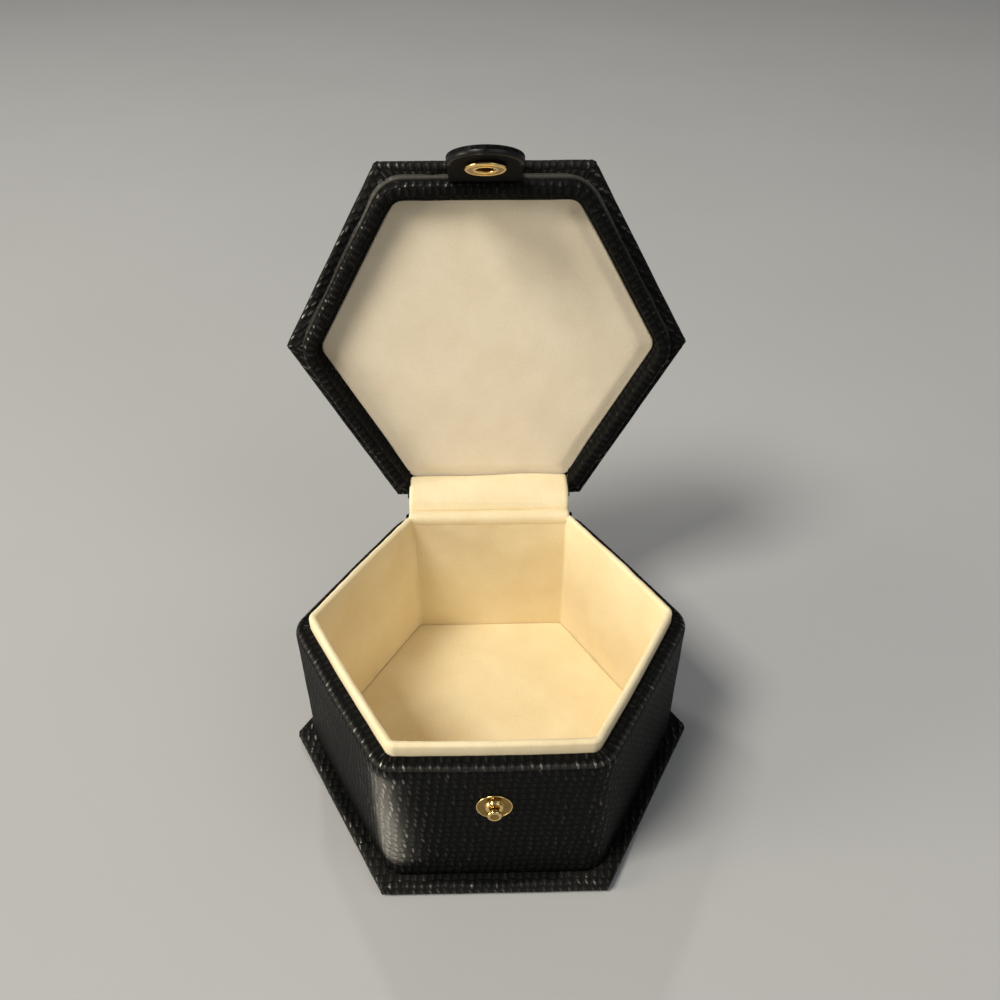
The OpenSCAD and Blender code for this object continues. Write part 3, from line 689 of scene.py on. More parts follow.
def wall_skin():
    """Leatherette round the wall, over its shoulder and down inside the rim."""
    e = SHOULDER_R
    inside = SHOULDER_R - SKIN
    board_in = BODY_AP - SKIN - BOARD_T
    wall_in = board_in - SKIN
    outer = refine([(BODY_AP, BASE_TOP), (BODY_AP, RIM_Z - e)], 1.2 * MM)
    outer += arc((BODY_AP - e, RIM_Z - e), e, 0, 90, 14)[1:]
    outer += arc((wall_in + RIM_R, RIM_Z - RIM_R), RIM_R, 90, 180, 4)
    outer += refine([(wall_in, RIM_Z - RIM_R), (wall_in, RIM_Z - RIM_TURN)], 1.2 * MM)[1:]
    inner = [(board_in, RIM_Z - RIM_TURN), (board_in, RIM_Z - SKIN)]
    inner += arc((BODY_AP - SKIN - inside, RIM_Z - SKIN - inside), inside, 90, 0, 5)
    inner += [(BODY_AP - SKIN, BASE_TOP)]
    profile = outer + inner
    grid = hex_grid(profile, BODY_R, BODY_AP)
    lay = round_lay(grid, profile, True)
    normals = grid_normals(grid, True)
    shift = 0.10 * MM * wander(grid, 11 * MM, 5) + 0.04 * MM * wander(grid, 2.5 * MM, 6)
    crease = nick(grid)
    shift -= 0.26 * MM * crease
    shift[:2] *= 0.3
    shift[len(outer):] = 0
    grid += np.clip(shift, -0.35 * MM, 0.16 * MM)[..., None] * normals
    bow(grid, BOW * rise(grid[..., 2], RIM_Z - 9 * MM, RIM_Z - 2 * MM))
    # Painted sparkle row along the shoulder; with it, the corners' painted highlight and a painted highlight
    # on the crease.
    edge = rise(grid[..., 2], RIM_Z - 1.5 * MM, RIM_Z - 0.9 * MM)
    edge -= rise(grid[..., 2], RIM_Z - RIM_R, RIM_Z)
    painted_light_marks = np.maximum(painted_corner_highlight(grid), 0.42 * edge) + 0.9 * crease
    piece = grid_object("wall_skin", grid, lay, LIZARD, around=True, along=True, painted_light_marks=painted_light_marks)
    dress(piece, "box", "leatherette", "wall_wrap")


def painted_corner_highlight(grid):
    """Painted highlight down the wall's upright corners, where the light catches them: strong at the front
    left one, and faint at the others."""
    corner = np.array([-BODY_AP * math.tan(CORNER / 2), -BODY_AP])
    off = grid[..., :2] - corner
    gap = np.linalg.norm(off, axis=2)
    front = 0.45 * bell(gap, 3.4 * MM) + 0.60 * bell(gap, 9.5 * MM)
    side = 0.75 * bell(gap, 4.5 * MM) + 0.30 * bell(gap, 13 * MM)
    height = grid[..., 2]
    foot = rise(height, BASE_TOP + 1.5 * MM, BASE_TOP + 7 * MM)
    top = 1 - 0.25 * rise(height, 16 * MM, 38 * MM) - 0.5 * rise(height, RIM_Z - 5 * MM, RIM_Z - 1.5 * MM)
    others = 0.22 * bell(past_corner(grid), 3 * MM)
    return np.maximum(np.where(off[..., 0] > 0.6 * MM, front, side) * foot * top, others)


def nick(grid):
    """A short slanting crease under the front shoulder, left of the stud: 1 along its middle."""
    right = grid[..., 0] + 9.6 * MM
    up = grid[..., 2] - (RIM_Z - 2.9 * MM)
    along = right * 0.45 - up * 0.9
    across = right * 0.9 + up * 0.45
    return (grid[..., 1] < 0) * bell(across, 0.26 * MM) * bell(along, 1.7 * MM)


wall_skin()


# ---------------------------------------------------------------- lining of the well

def liner_cloth():
    """Velvet up the inside of the well, over its standing edge and down behind it, with a seam in its back
    left corner."""
    roll = LINER_T / 2
    low = RIM_Z - VELVET_TURN
    inside = roll - NAP
    mid = CAVITY_AP + roll
    front = refine([(CAVITY_AP, BASE_TOP), (CAVITY_AP, LINER_TOP - roll)], 1.2 * MM)
    front += arc((mid, LINER_TOP - roll), roll, 180, 0, 16)[1:]
    front += refine([(LINER_AP, LINER_TOP - roll), (LINER_AP, low)], 1.5 * MM)[1:]
    back = [(LINER_AP - NAP, low), (LINER_AP - NAP, LINER_TOP - roll)]
    back += arc((mid, LINER_TOP - roll), inside, 0, 180, 6)[1:-1]
    back += [(CAVITY_AP + NAP, LINER_TOP - roll), (CAVITY_AP + NAP, BASE_TOP)]
    profile = front + back
    grid = hex_grid(profile, WALL_IN_R, LINER_AP)
    lay = round_lay(grid, profile, True)
    normals = grid_normals(grid, True)
    top = rise(grid[..., 2], LINER_TOP - 2.2 * MM, LINER_TOP - 0.6 * MM)
    pucker = wander(grid * np.array([1, 1, 0.3]), 1.9 * MM, 8) * 0.10 * MM
    shift = 0.12 * MM * wander(grid, 10 * MM, 9) + 0.05 * MM * wander(grid, 3.2 * MM, 10) + pucker * top
    angle, reach = polar(grid)
    seam = reach * (angle - 2 * CORNER)
    shift -= 0.16 * MM * bell(seam, 0.30 * MM) * (1 - 0.7 * top)
    shift[0] *= 0.2
    shift[len(front):] = 0
    most = 0.10 * MM * rise(np.abs(past_corner(grid)), 0, 6 * MM)
    grid += np.clip(shift, -0.36 * MM, most)[..., None] * normals
    bow(grid, BOW * rise(grid[..., 2], FLOOR_Z, LINER_TOP))
    piece = grid_object("liner_cloth", grid, lay, CREAM, around=True, along=True)
    dress(piece, "box", "velvet", "liner_velvet")


def floor_cloth():
    """Velvet over the floor's board, drawn over its edge."""
    e = 0.45 * MM
    under = FLOOR_Z - NAP
    top = [(HUB, FLOOR_Z)] + refine([(3 * MM, FLOOR_Z), (FLOOR_AP - e, FLOOR_Z)], 1.3 * MM)
    top += arc((FLOOR_AP - e, FLOOR_Z - e), e, 90, 0, 6)[1:]
    top += [(FLOOR_AP, BASE_TOP)]
    profile = top + [(FLOOR_AP - NAP, BASE_TOP), (FLOOR_AP - NAP, under), (3 * MM, under), (HUB, under)]
    grid = hex_grid(profile, WALL_IN_R - LINER_T + NAP, FLOOR_AP)
    lay = flat_lay(grid, profile, len(top) - 8)
    shift = 0.10 * MM * wander(grid, 14 * MM, 12) + 0.04 * MM * wander(grid, 4 * MM, 13)
    shift[len(top) - 1:] = 0
    grid[..., 2] += np.clip(shift, -0.1 * MM, 0.12 * MM)
    piece = grid_object("floor_cloth", grid, lay, CREAM, around=True, caps="rings")
    dress(piece, "box", "velvet", "floor_velvet")


liner_cloth()
floor_cloth()


# ---------------------------------------------------------------- lid frame and pad

def frame_profile():
    """Down the outside of the closed lid's frame, round its lip and up inside to the bead round the pad."""
    bead = FRAME_IN - BEAD
    lip = arc((BODY_AP - LIP_R, LIP_Z + LIP_R), LIP_R, 0, -90, 12)
    lip += arc((FRAME_IN + LIP_IN, LIP_Z + LIP_IN), LIP_IN, -90, -180, 6)
    wall = refine([(FRAME_IN, LIP_Z + LIP_IN), (FRAME_IN, LINING_LOW - COVE)], 1 * MM)[1:]
    cove = [(FRAME_IN - BEAD * t * t, LINING_LOW - COVE * (1 - t)) for t in np.linspace(0.2, 1, 5)]
    foot = arc((BODY_AP + FOOT, LID_Z - FOOT), FOOT, 90, 180, 8)
    outside = refine([(BODY_AP, LID_Z - FOOT), (BODY_AP, LIP_Z + LIP_R)], 1 * MM)
    return foot + outside[1:] + lip[1:] + wall + cove + [(bead, LID_Z)]


def frame_grid(profile):
    """Rings of the frame, open at the back, whose corners get rounder towards the outside."""
    rings = []
    for apothem, height in profile:
        radius = FRAME_IN_R + (apothem - FRAME_IN) * (FRAME_R - FRAME_IN_R) / (BODY_AP - FRAME_IN)
        ring = hexagon(apothem, radius, NOTCH_X)
        rings.append(np.column_stack([ring, np.full(len(ring), height)]))
    return np.array(rings)


def frame_skin():
    """Leatherette round the lid's frame, with its ends closed beside the hinge cover."""
    outer = frame_profile()
    r = LIP_R - SKIN
    inner = [(FRAME_IN + SKIN, LID_Z), (FRAME_IN + SKIN, LIP_Z + SKIN)]
    inner += arc((BODY_AP - LIP_R, LIP_Z + LIP_R), r, -90, 0, 5) + [(BODY_AP - SKIN, LID_Z)]
    profile = outer + inner
    grid = frame_grid(profile)
    lay = round_lay(grid, profile, False)
    normals = grid_normals(grid, False)
    shift = 0.09 * MM * wander(grid, 8 * MM, 15) + 0.04 * MM * wander(grid, 2.4 * MM, 16)
    shift *= rise(LID_Z - grid[..., 2], 0, 1 * MM)
    shift[len(outer):] = 0
    columns = np.arange(grid.shape[1])
    calm = np.minimum(rise(columns, 0, 6), rise(columns[::-1], 0, 6))
    grid += (np.clip(shift, -0.08 * MM, 0.15 * MM) * calm)[..., None] * normals
    apothems = np.array([p[0] for p in profile])[:, None]
    inward = rise(BODY_AP - 0.4 * MM - apothems, 0, BODY_AP - 0.4 * MM - FRAME_IN)
    inward[len(outer):] = 0
    bow(grid, BOW * rise(LID_Z - grid[..., 2], 0.5 * MM, 5 * MM))
    near_pad = inward * rise(grid[..., 2], LINER_TOP + 0.4 * MM, LINER_TOP + 1.6 * MM)
    front = rise(-grid[..., 1], 0.80 * FRAME_IN, 0.97 * FRAME_IN)
    grid[..., 1] += BEAD_FRONT * front * near_pad
    grid[..., 0] += stand_back(grid) * near_pad
    painted_light_marks = frame_painted_light(grid, apothems)
    piece = grid_object("frame_skin", grid, lay, LIZARD, OPENED, along=True, caps="columns", painted_light_marks=painted_light_marks)
    dress(piece, "lid", "leatherette", "frame_wrap")
    frame_end("frame_end_left", grid[:len(outer), 0])
    frame_end("frame_end_right", grid[:len(outer), -1])


def frame_painted_light(grid, apothems):
    """Light painted on the frame: a painted highlight along its lip, most on the left, and, where it meets
    the lid plate, a drawn smooth foot with a painted sheen, most at the front."""
    roll = bell(apothems - BODY_AP + 0.75 * MM, 0.55 * MM) * (grid[..., 2] < LIP_Z + LIP_R)
    # strength of the painted highlight along the lip, more on the left
    held = 0.34 - 0.18 * rise(grid[..., 0], -6 * MM, 2 * MM)
    foot = (grid[..., 2] > LID_Z - 1.5 * FOOT) & (apothems > BODY_AP - 0.3 * MM)
    # the foot is drawn smooth and given a painted sheen, stronger at the front
    drawn = 0.45 + 0.55 * rise(-grid[..., 1], 0.60 * BODY_AP, 0.95 * BODY_AP)
    return np.where(foot, -drawn, roll * held)


def frame_end(name, end):
    """Leatherette folded over one end of the frame."""
    near = end + np.array([-0.16 * MM * np.sign(end[0, 0]), 0.10 * MM, 0])
    flap = np.stack([end, near], 1)
    lay = np.stack([flap[..., 1], flap[..., 2]], 2)
    lay = np.concatenate([lay, lay[:1]])
    piece = grid_object(name, flap, lay, LIZARD, OPENED, along=True, caps="columns", smooth=40)
    dress(piece, "lid", "leatherette")


def stand_back(grid):
    """How far the bead, and the pad's edge, lie further out on the right."""
    return BEAD_SIDE * rise(grid[..., 0], 8 * MM, 30 * MM)


def lid_pad():
    """Velvet pad in the lid: a thin crowned pad whose edge tucks under the frame's bead."""
    edge = FRAME_IN - BEAD - 0.1 * MM
    z = LINING_LOW
    e = 0.5 * MM
    face = [(HUB, z)] + refine([(3 * MM, z), (edge - e, z)], 1.2 * MM)
    face += arc((edge - e, z + e), e, -90, 0, 5)[1:] + [(edge, LID_Z)]
    back = [(edge - NAP / 2, LID_Z), (edge - NAP / 2, z + NAP), (3 * MM, z + NAP), (HUB, z + NAP)]
    profile = face + back
    grid = hex_grid(profile, FRAME_IN_R - BEAD, edge)
    lay = flat_lay(grid, profile, len(face) - 7)
    reach = np.array([p[0] for p in profile])[:, None] / edge
    crown = PAD_CROWN * (1 - reach ** 4)
    shift = crown + 0.08 * MM * wander(grid, 12 * MM, 18) + 0.04 * MM * wander(grid, 3.5 * MM, 19)
    shift[len(face) - 1:] = 0
    grid[..., 2] -= shift
    grid[..., 1] += (TONGUE_Y - edge) * rise(grid[..., 1], 0.7 * edge, edge)
    grid[..., 0] += stand_back(grid)
    held = np.zeros((len(face), grid.shape[1]), bool)
    held[-8:] = True
    grid[:len(face)] += swollen(grid[:len(face)], held, PAD_SWELL, True)
    piece = grid_object("lid_pad", grid, lay, PAD_CREAM, OPENED, around=True, caps="rings")
    dress(piece, "lid", "velvet", "lining_velvet")


frame_skin()
lid_pad()


# ---------------------------------------------------------------- covers over the hinge

COVER_THICK = 1.0 * MM
COVER_COLUMNS = 81
STRIP_COLUMNS = 41


def bezier(points, t):
    """Point of a cubic curve."""
    a, b, c, d = (np.array(p) for p in points)
    return (1 - t) ** 3 * a + 3 * t * (1 - t) ** 2 * b + 3 * t * t * (1 - t) * c + t ** 3 * d


def opened_yz(y, z):
    """Where a point of the closed lid lies once it is open."""
    place = OPENED @ Vector((0, y, z))
    return np.array([place.y, place.z])


def offset_line(line, distance):
    """A line of (y, z) points moved sideways by a distance."""
    ahead = np.gradient(line, axis=0)
    ahead /= np.linalg.norm(ahead, axis=1, keepdims=True)
    return line + distance * np.stack([-ahead[:, 1], ahead[:, 0]], 1)


def band(line, thickness, width, columns, end_round):
    """Grid of a padded band: a (y, z) centre line swept across, with rounded edges and sides. Its thickness
    is one number, or one for each point of the line."""
    rows = []
    for share in np.linspace(-1, 1, columns):
        x = share * width / 2
        side = max(0.0, abs(x) - (width / 2 - end_round)) / end_round
        half = np.reshape(thickness, (-1, 1)) / 2 * math.sqrt(max(0.03, 1 - side ** 2))
        loop = np.concatenate([offset_line(line, half), offset_line(line, -half)[::-1]])
        rows.append(np.column_stack([np.full(len(loop), x), loop]))
    return np.array(rows)


def cover_line(steps):
    """Middle of the velvet cover: from the lid's pad, in a soft bulge, down to a crease, then over the
    standing edge of the lining, and under the lining's velvet."""
    t = COVER_THICK / 2
    top = opened_yz(TONGUE_Y - 0.3 * MM, LINING_LOW - 0.1 * MM) + np.array([-t, 0])
    crease = np.array([LINER_AP + 1.9 * MM, RIM_Z + 2.9 * MM])
    curve = [top, top + np.array([-4.6, 0.5]) * MM, crease + np.array([0.4, 3.6]) * MM, crease]
    line = [bezier(curve, s) for s in np.linspace(0, 1, steps)]
    lip = np.array([LINER_AP - 0.5 * MM, LINER_TOP + 0.25 * MM])
    fold = [crease, crease + np.array([-0.5, -0.5]) * MM, lip + np.array([0.9, 0.1]) * MM, lip]
    line += [bezier(fold, s) for s in np.linspace(0, 1, 7)[1:]]
    brow = np.array([CAVITY_AP + 0.03 * MM, LINER_TOP - 1.7 * MM])
    hem = np.array([CAVITY_AP + 0.40 * MM, LINER_TOP - 3.6 * MM])
    drop = [lip, lip + np.array([-1.0, -0.1]) * MM, brow + np.array([-0.05, 0.8]) * MM, brow]
    line += [bezier(drop, s) for s in np.linspace(0, 1, 8)[1:]]
    tuck = [brow, brow + np.array([0.05, -0.7]) * MM, hem + np.array([0, 0.6]) * MM, hem]
    line += [bezier(tuck, s) for s in np.linspace(0, 1, 5)[1:]]
    return np.array(line)


def hinge_pad():
    """Velvet cover over the hinge: puffed below the lid, creased above the lining, and tapered to its hem."""
    line = cover_line(34)
    run = lengths(line) / lengths(line)[-1]
    thick = COVER_THICK * (1 - 0.68 * rise(run, 0.66, 0.95))
    grid = band(line, thick, COVER_HI.x - COVER_LO.x, COVER_COLUMNS, 0.6 * MM)
    place = np.linspace(-1, 1, COVER_COLUMNS)[:, None]
    run = np.concatenate([run, run[::-1]])[None, :]
    wave = np.sin(2.3 * place + 0.6) * 0.5 + np.sin(5.1 * place - 1.0) * 0.3
    head = 1 - rise(run, 0.0, 0.10)
    first = bell(run - 0.50 - 0.018 * place - 0.012 * wave, 0.022)
    second = bell(run - 0.575 + 0.010 * place, 0.020)
    puff = 0.22 * bell(run - 0.30, 0.12) * (1 + 0.35 * wave)
    fall = (puff - 0.24 * first * (1 - 0.5 * place ** 2) - 0.20 * second) * MM
    dimple = 0.10 * MM * wander(grid * np.array([1, 2.2, 2.2]), 5 * MM, 21) * (1 - rise(run, 0.85, 1.0))
    half = grid.shape[1] // 2
    front = np.where(np.arange(grid.shape[1]) < half, 1.0, 0.35)
    grid += ((fall + dimple) * front)[..., None] * outward(grid)
    grid[..., 2] += 0.55 * MM * wave * head
    held = (run < 0.03) | (run > 0.66) | (first > 0.6) | (second > 0.6) | (np.abs(place) > 0.97)
    grid[:, :half] += swollen(grid[:, :half], held[:, :half], HINGE_SWELL, False)
    lay = band_lay(line, COVER_LO.x, COVER_HI.x, COVER_COLUMNS)
    piece = grid_object("hinge_pad", grid, lay, CREAM, around=True, caps="rings")
    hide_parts("hinge_cover")
    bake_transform(piece)


def band_lay(line, left, right, columns):
    """Lay of a padded band: distance along its line and back, and its place across."""
    u = lengths(np.concatenate([line, line[::-1]]))
    return np.stack(np.meshgrid(np.append(u, u[-1]), np.linspace(left, right, columns + 1)), 2)


def outward(grid):
    """Directions in which a band's front and back both move when its middle line moves to the front."""
    count = grid.shape[1] // 2
    middle = (grid[:, :count] + grid[:, :count - 1:-1]) / 2
    ahead = np.gradient(middle[..., 1:], axis=1)
    ahead /= np.linalg.norm(ahead, axis=2, keepdims=True)
    normal = np.stack([np.zeros_like(ahead[..., 0]), -ahead[..., 1], ahead[..., 0]], 2)
    return np.concatenate([normal, normal[:, ::-1]], 1)


def strip_width(y, near, far):
    """Share of its width that the strip has: wider on the wall and on the lid, and waisted between them."""
    waist = rise(y, near + 0.3 * MM, near + 1.8 * MM) * (1 - rise(y, far - 3.0 * MM, far - 1.2 * MM))
    return 1.03 - 0.10 * waist


def back_strip():
    """Leatherette strip behind the hinge, from the wall to the lid plate's back edge."""
    lo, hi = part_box("hinge_strip")
    wall = lo.y
    plate = opened_yz(PLATE_AP, LID_Z + PLATE_H / 2)
    turn_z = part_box("hinge_base_leaf")[1].z - 3.8 * MM
    low = np.array([wall, turn_z])
    edge = plate + np.array([-1.2, -0.55]) * MM
    curve = [low, low + np.array([0, 2.2]) * MM, plate + np.array([-6, -1.4]) * MM, edge]
    line = [np.array([wall, z]) for z in np.linspace(lo.z, turn_z, 10)[:-1]]
    line += [bezier(curve, s) for s in np.linspace(0, 1, 24)]
    line += [plate + np.array([1.2, -0.55]) * MM]
    line = offset_line(np.array(line), -SKIN / 2)
    grid = band(line, SKIN, hi.x - lo.x, STRIP_COLUMNS, SKIN / 2)
    grid[..., 0] *= strip_width(grid[..., 1], wall, plate[0])
    lay = band_lay(line, lo.x, hi.x, STRIP_COLUMNS)[..., ::-1]
    piece = grid_object("back_strip", grid, lay, LIZARD, around=True, caps="rings", smooth=60)
    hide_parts("hinge_strip")
    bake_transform(piece)


hinge_pad()
back_strip()


# ---------------------------------------------------------------- tab

TAB_R = 8.5 * MM           # round end of the tab
NECK_W = 16.8 * MM         # width where it leaves the frame
LAYER = 1 * MM             # thickness of each of its two leathers
BEND_R = 2 * MM            # bend of the leather where it leaves the frame
GLINT_X = -1.4 * MM        # where the glint painted on the tab's edge is strongest
SOCKET_PIT = 3.1 * MM      # hole for the stud's head under the socket
TAB_SPLAY = math.radians(25)    # how far the tab stands out when nothing holds it
BEND_CLOSED = CLOSED @ BEND
ON_TAB = OPENED @ Matrix.Translation(BEND_CLOSED) @ Matrix.Rotation(-TAB_SPLAY - math.pi / 2, 4, "X")


def on_tab_box(node):
    """Lowest and highest corner of a node in the tab's own place: y runs down it and z towards the wall."""
    points = np.array([ON_TAB.inverted() @ v.co for v in frame["nodes"][node].data.vertices])
    return Vector(points.min(0)), Vector(points.max(0))


TAB_LEN = (on_tab_box("socket_shell")[0].y + on_tab_box("socket_shell")[1].y) / 2
SEAT = on_tab_box("socket_shell")[0].z


def tab_line():
    """Middle line of the tab in the closed lid's (y, z): down the frame, round the bend and down the tab."""
    reach = BEND_R * math.tan(TAB_SPLAY / 2)
    top = LID_Z - 0.1 * MM - BEND_CLOSED.z
    line = [(0, z) for z in np.linspace(top, reach, 9)]
    for turn in np.linspace(0, TAB_SPLAY, 9)[1:-1]:
        line.append((-BEND_R + BEND_R * math.cos(turn), reach - BEND_R * math.sin(turn)))
    line.append((-reach * math.sin(TAB_SPLAY), -reach * math.cos(TAB_SPLAY)))
    return np.array(line)


def tab_width(station, depth):
    """Half width of the tab's outline at a station and a depth inside its edge, and the place down the tab
    or, on its root, the point of the line."""
    kind, value = station
    if kind == "root":
        return NECK_W / 2 - depth, value
    if kind == "side":
        return NECK_W / 2 + (TAB_R - NECK_W / 2) * value / TAB_LEN - depth, value
    r = TAB_R - depth
    return r * math.cos(value), TAB_LEN + r * math.sin(value)


def tab_sheet(name, low, high, edges, material, slot, *nodes):
    """One layer of the tab between two depths, with a round end, and with its edges rounded by a radius at
    the low side and one at the high side. The lining's round end gets a painted glint along its edge,
    strongest at one place."""
    line = tab_line()
    ahead = np.gradient(line, axis=0)
    ahead /= np.linalg.norm(ahead, axis=1, keepdims=True)
    start = lengths(line)
    reach = start[-1] - start[np.argmin(np.abs(line[:, 1]))]
    pit = low + 0.06 * (high - low)
    stations = [("root", i) for i in range(len(line))]
    stations += [("side", s) for s in np.linspace(0.4 * MM, TAB_LEN, 18)[1:-1]]
    stations += [("end", t) for t in np.radians(np.linspace(0, 89, 30))]

    below, above = (arc((edge, 0), edge, 180, 90, 5) for edge in edges)
    across = np.linspace(-1, 1, 23)[1:-1]
    loop = [(d, -1, high - edges[1] + h) for d, h in above]
    loop += [(edges[1], a, high) for a in across]
    loop += [(d, 1, high - edges[1] + h) for d, h in reversed(above)]
    loop += [(d, 1, low + edges[0] - h) for d, h in below]
    loop += [(edges[0], a, low) for a in across[::-1]]
    loop += [(d, -1, low + edges[0] - h) for d, h in reversed(below)]

    rows, lay_rows, marks = [], [], []
    for station in stations:
        row, lay_row = [], []
        for depth, share, height in loop:
            half, value = tab_width(station, depth)
            x = share * half
            rim = share in (-1, 1)
            if station[0] == "root":
                out = np.array([-ahead[value][1], ahead[value][0]])
                y, z = line[value] + out * height
                point = OPENED @ (BEND_CLOSED + Vector((x, y, z)))
                s = start[value] - start[-1] + reach
            else:
                sunk = math.hypot(x, value - TAB_LEN) < SOCKET_PIT and height > (low + high) / 2
                point = ON_TAB @ Vector((x, value, pit if sunk else height))
                s = value
            row.append(tuple(point))
            # painted glint along the lining's round end
            glint = 0.4 + 0.6 * math.exp(-((x - GLINT_X) / (0.7 * MM)) ** 2)
            marks.append(glint if rim and station[0] == "end" and material is TAB_LINING else 0.0)
            lay_row.append((x + 40 * MM, s + (height - low if rim else 0)))
        rows.append(row)
        lay_rows.append(lay_row + [lay_row[0]])
    grid = np.array(rows)
    lay = np.array(lay_rows + lay_rows[-1:])
    marks = np.reshape(marks, grid.shape[:2])
    piece = grid_object(name, grid, lay, material, around=True, caps="rings", smooth=70, painted_light_marks=marks)
    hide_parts(*nodes)
    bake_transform(piece)


tab_sheet("tab_leather", -LAYER, 0, (0.45 * MM, 0.03 * MM), LIZARD, "leatherette", "tab_root", "tab_strap")
tab_sheet("tab_suede", 0, LAYER, (0.03 * MM, 0.50 * MM), TAB_LINING, "suede", "tab_lining")


# ---------------------------------------------------------------- snap fastener

ON_FRONT = Matrix.Translation(STUD) @ Matrix.Rotation(math.pi / 2, 4, "X")
HEAD_OUT = 2.25 * MM       # widest place of the stud's head, from the wall
FLANGE_R = 3.95 * MM
BOSS_OUT = 1.0 * MM        # boss that carries the stud's neck
NECK_R = 0.9 * MM
BARREL_R = 1.2 * MM        # barrel through the wall
SOCKET_R = 4.6 * MM
SOCKET_H = 1.2 * MM
SOCKET_MOUTH = 2.1 * MM    # opening that takes the stud's head
SOCKET_BAY = 3.7 * MM      # room for the wire spring
SOCKET_BORE = 2.3 * MM     # bore on the eyelet
SOCKET_FLOOR = 0.25 * MM


def turned(name, profile, place, body, node, recess, steps=96):
    """A turned gold piece: a closed profile of (radius, height) spun round Z, with painted shade inside its
    recess, which is given by its inner and outer radius and the height that it lies below."""
    turns = np.linspace(0, 2 * math.pi, steps, endpoint=False)
    grid = np.array([[(r * math.cos(t), r * math.sin(t), z) for t in turns] for r, z in profile])
    lay = np.zeros((len(profile) + 1, steps + 1, 2))
    inner, outer, level = recess
    # 1 outside the recess, 0 inside it, where shade is painted
    painted_light_marks = np.array([float(not (inner < r < outer and z < level)) for r, z in profile])
    painted_light_marks = np.repeat(painted_light_marks[:, None], steps, 1)
    piece = grid_object(name, grid, lay, GOLD, place, around=True, along=True, smooth=35, painted_light_marks=painted_light_marks)
    dress(piece, body, "gold_plate", node)


def soft_line(points, steps=5):
    """A smooth line through the points of a profile."""
    points = np.array(points) * MM
    padded = np.concatenate([[2 * points[0] - points[1]], points, [2 * points[-1] - points[-2]]])
    line = []
    for a, b, c, d in zip(padded, padded[1:], padded[2:], padded[3:]):
        for t in np.linspace(0, 1, steps, endpoint=False):
            curve = (2 * a - 5 * b + 4 * c - d) * t ** 2 + (3 * b - a - 3 * c + d) * t ** 3
            line.append(0.5 * (2 * b + (c - a) * t + curve))
    return [tuple(p) for p in line] + [tuple(points[-1])]


def stud_dish():
    """Flange of the stud: a thin rolled rim round a shallow dish, and a boss that carries the neck."""
    roll = 0.15 * MM
    bore = NECK_R + 0.1 * MM
    profile = [(bore, 0), (FLANGE_R - roll, 0)]
    profile += arc((FLANGE_R - roll, roll), roll, -90, 160, 12)[1:]
    profile += soft_line([(3.56, 0.20), (3.30, 0.14), (2.60, 0.13), (2.28, 0.16), (2.10, 0.30), (2.05, 0.46)])
    profile += soft_line([(2.02, 0.56), (1.90, 0.76), (1.66, 0.92), (1.34, 1.00), (1.12, 1.00)])
    profile += [(bore, BOSS_OUT - 0.06 * MM)]
    turned("stud_dish", profile, ON_FRONT, "box", "stud_flange", (1.95 * MM, 3.7 * MM, 0.24 * MM))


def stud_pin():
    """Neck and button head of the stud, with a dished face, and its barrel through the wall."""
    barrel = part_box("stud_post")[1].y + BODY_AP
    out = HEAD_OUT / MM
    profile = [(0.02 * MM, -barrel), (BARREL_R, -barrel), (BARREL_R, -0.6 * MM), (NECK_R, -0.5 * MM)]
    profile += [(NECK_R, HEAD_OUT - 0.75 * MM), (NECK_R + 0.04 * MM, HEAD_OUT - 0.60 * MM)]
    profile += soft_line([(1.10, out - 0.50), (1.40, out - 0.42), (1.58, out - 0.26), (1.65, out - 0.03),
                          (1.62, out + 0.18), (1.50, out + 0.36), (1.30, out + 0.46), (1.10, out + 0.46),
                          (0.90, out + 0.38), (0.60, out + 0.28), (0.30, out + 0.25), (0.02, out + 0.24)])
    turned("stud_pin", profile, ON_FRONT, "box", "stud_post", (-1, 1.0 * MM, HEAD_OUT + 0.42 * MM))


def socket_ring():
    """Cap of the socket: a flat stepped ring whose rolled mouth takes the stud's head."""
    top, r, mouth = SOCKET_H / MM, SOCKET_R / MM, SOCKET_MOUTH / MM
    bay_top = SOCKET_H - 0.80 * MM
    profile = [(SOCKET_BORE, 0), (SOCKET_R - 0.45 * MM, 0)]
    profile += soft_line([(r - 0.32, 0.20), (r - 0.10, 0.42), (r, 0.68), (r - 0.02, 0.90), (r - 0.16, 1.10),
                          (r - 0.42, top), (r - 0.62, top - 0.03), (r - 0.74, top - 0.12),
                          (r - 0.95, top - 0.14), (mouth + 0.86, top - 0.14), (mouth + 0.66, top - 0.06),
                          (mouth + 0.46, top), (mouth + 0.24, top - 0.04), (mouth + 0.06, top - 0.16),
                          (mouth, top - 0.34)])
    profile += [(SOCKET_MOUTH + 0.02 * MM, bay_top), (SOCKET_BAY, bay_top)]
    profile += [(SOCKET_BAY, SOCKET_FLOOR), (SOCKET_BORE, SOCKET_FLOOR)]
    place = ON_TAB @ Matrix.Translation((0, TAB_LEN, SEAT))
    recess = (2.8 * MM, 3.9 * MM, SOCKET_H - 0.1 * MM)
    turned("socket_ring", profile, place, "tab", "socket_shell", recess)


stud_dish()
stud_pin()
socket_ring()


# ---------------------------------------------------------------- carried-over nodes

def repaint(material, *nodes):
    """Gives CAD nodes a finish."""
    for node in nodes:
        for slot in frame["nodes"][node].material_slots:
            slot.material = material


repaint(FIBREBOARD, "base_board", "wall_board", "lid_board", "frame_board")
repaint(GREYBOARD, "liner_card", "floor_board", "lining_card")
repaint(GOLD, "socket_eyelet")
repaint(STEEL, "stud_washer", "hinge_base_leaf", "base_rivet_left", "base_rivet_right", "hinge_pin",
        "spring_left", "spring_right", "hinge_lid_leaf", "lid_rivet_left", "lid_rivet_right", "socket_spring")


# ---------------------------------------------------------------- stage, light and camera

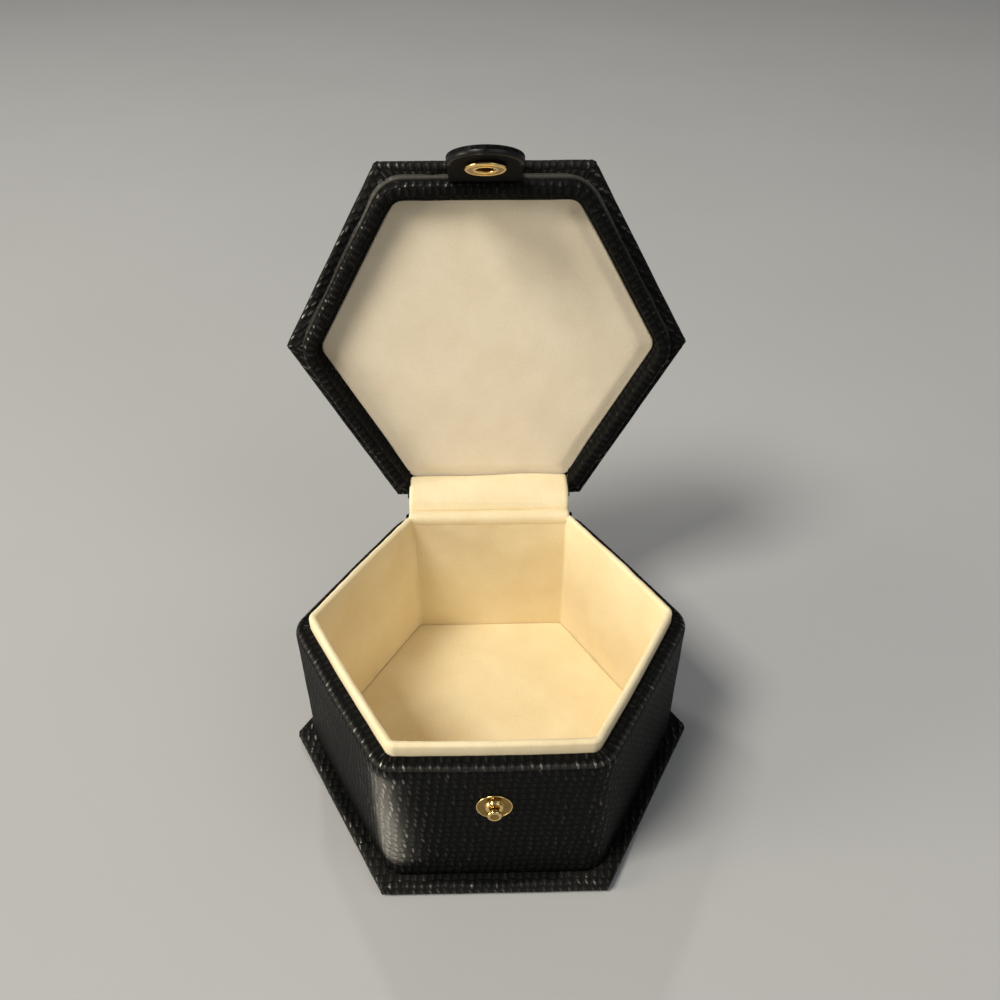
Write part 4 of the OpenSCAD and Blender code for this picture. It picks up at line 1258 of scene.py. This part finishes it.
def stage_floor():
    """Pale floor with a little mottling."""
    start = blank("pale_floor")
    place = solid_place(start)
    colour = grain(place, 6, 4).tint((0.455, 0.455, 0.445), (0.505, 0.505, 0.495))
    material = finish("pale_floor", colour, 0.6 + grain(place, 40) * 0.1, bump(grain(place, 900), 0.02 * MM),
                      {"Specular IOR Level": 0.3})
    half = 6.0
    points = [(-half, -half, 0), (half, -half, 0), (half, half, 0), (-half, half, 0)]
    make_object("floor", points, [[0, 1, 2, 3]], np.array(points), material)


def area_light(name, place, size, power, colour):
    """A square soft light aimed at the middle of the box. Its size is in metres and its power in watts."""
    data = bpy.data.lights.new(name, "AREA")
    data.shape = "SQUARE"
    data.size = size
    data.energy = power
    data.color = colour
    made = bpy.data.objects.new(name, data)
    made.location = place
    made.rotation_euler = (Vector((0, 0, 0.06)) - Vector(place)).to_track_quat("-Z", "Y").to_euler()
    bpy.context.scene.collection.objects.link(made)


def world_light():
    """An even pale room."""
    world = bpy.data.worlds.new("room")
    world.use_nodes = True
    bpy.context.scene.world = world
    back = world.node_tree.nodes["Background"]
    back.inputs["Color"].default_value = (0.92, 0.95, 1.0, 1)
    back.inputs["Strength"].default_value = 0.17


def front_camera():
    """The view from above the front, with the box centred."""
    data = bpy.data.cameras.new("view")
    data.sensor_width = 36
    data.lens = 32.1156
    data.clip_start = 0.01
    data.clip_end = 50
    made = bpy.data.objects.new("view", data)
    pitch = math.radians(37.6007)
    yaw = math.radians(1.1998)
    roll = math.radians(-0.062)
    ahead = Vector((math.sin(yaw) * math.cos(pitch), math.cos(yaw) * math.cos(pitch), -math.sin(pitch)))
    made.location = (-0.0010556, -0.1525472, 0.1981252)
    turn = ahead.to_track_quat("-Z", "Y").to_matrix() @ Matrix.Rotation(roll, 3, "Z")
    made.rotation_euler = turn.to_euler()
    bpy.context.scene.collection.objects.link(made)
    bpy.context.scene.camera = made


stage_floor()
area_light("key", (-0.92, -0.60, 1.64), 0.60, 27.5, (1.0, 0.95, 0.87))
area_light("window", (-1.50, -0.40, 0.36), 0.66, 14.0, (1.0, 0.91, 0.78))
area_light("fill", (1.05, -0.90, 1.14), 1.10, 4.4, (0.95, 0.97, 1.0))
area_light("rim", (-0.25, 1.10, 1.50), 0.10, 3.6, (1.0, 0.98, 0.94))
world_light()
front_camera()
bpy.context.scene.view_settings.view_transform = "Standard"
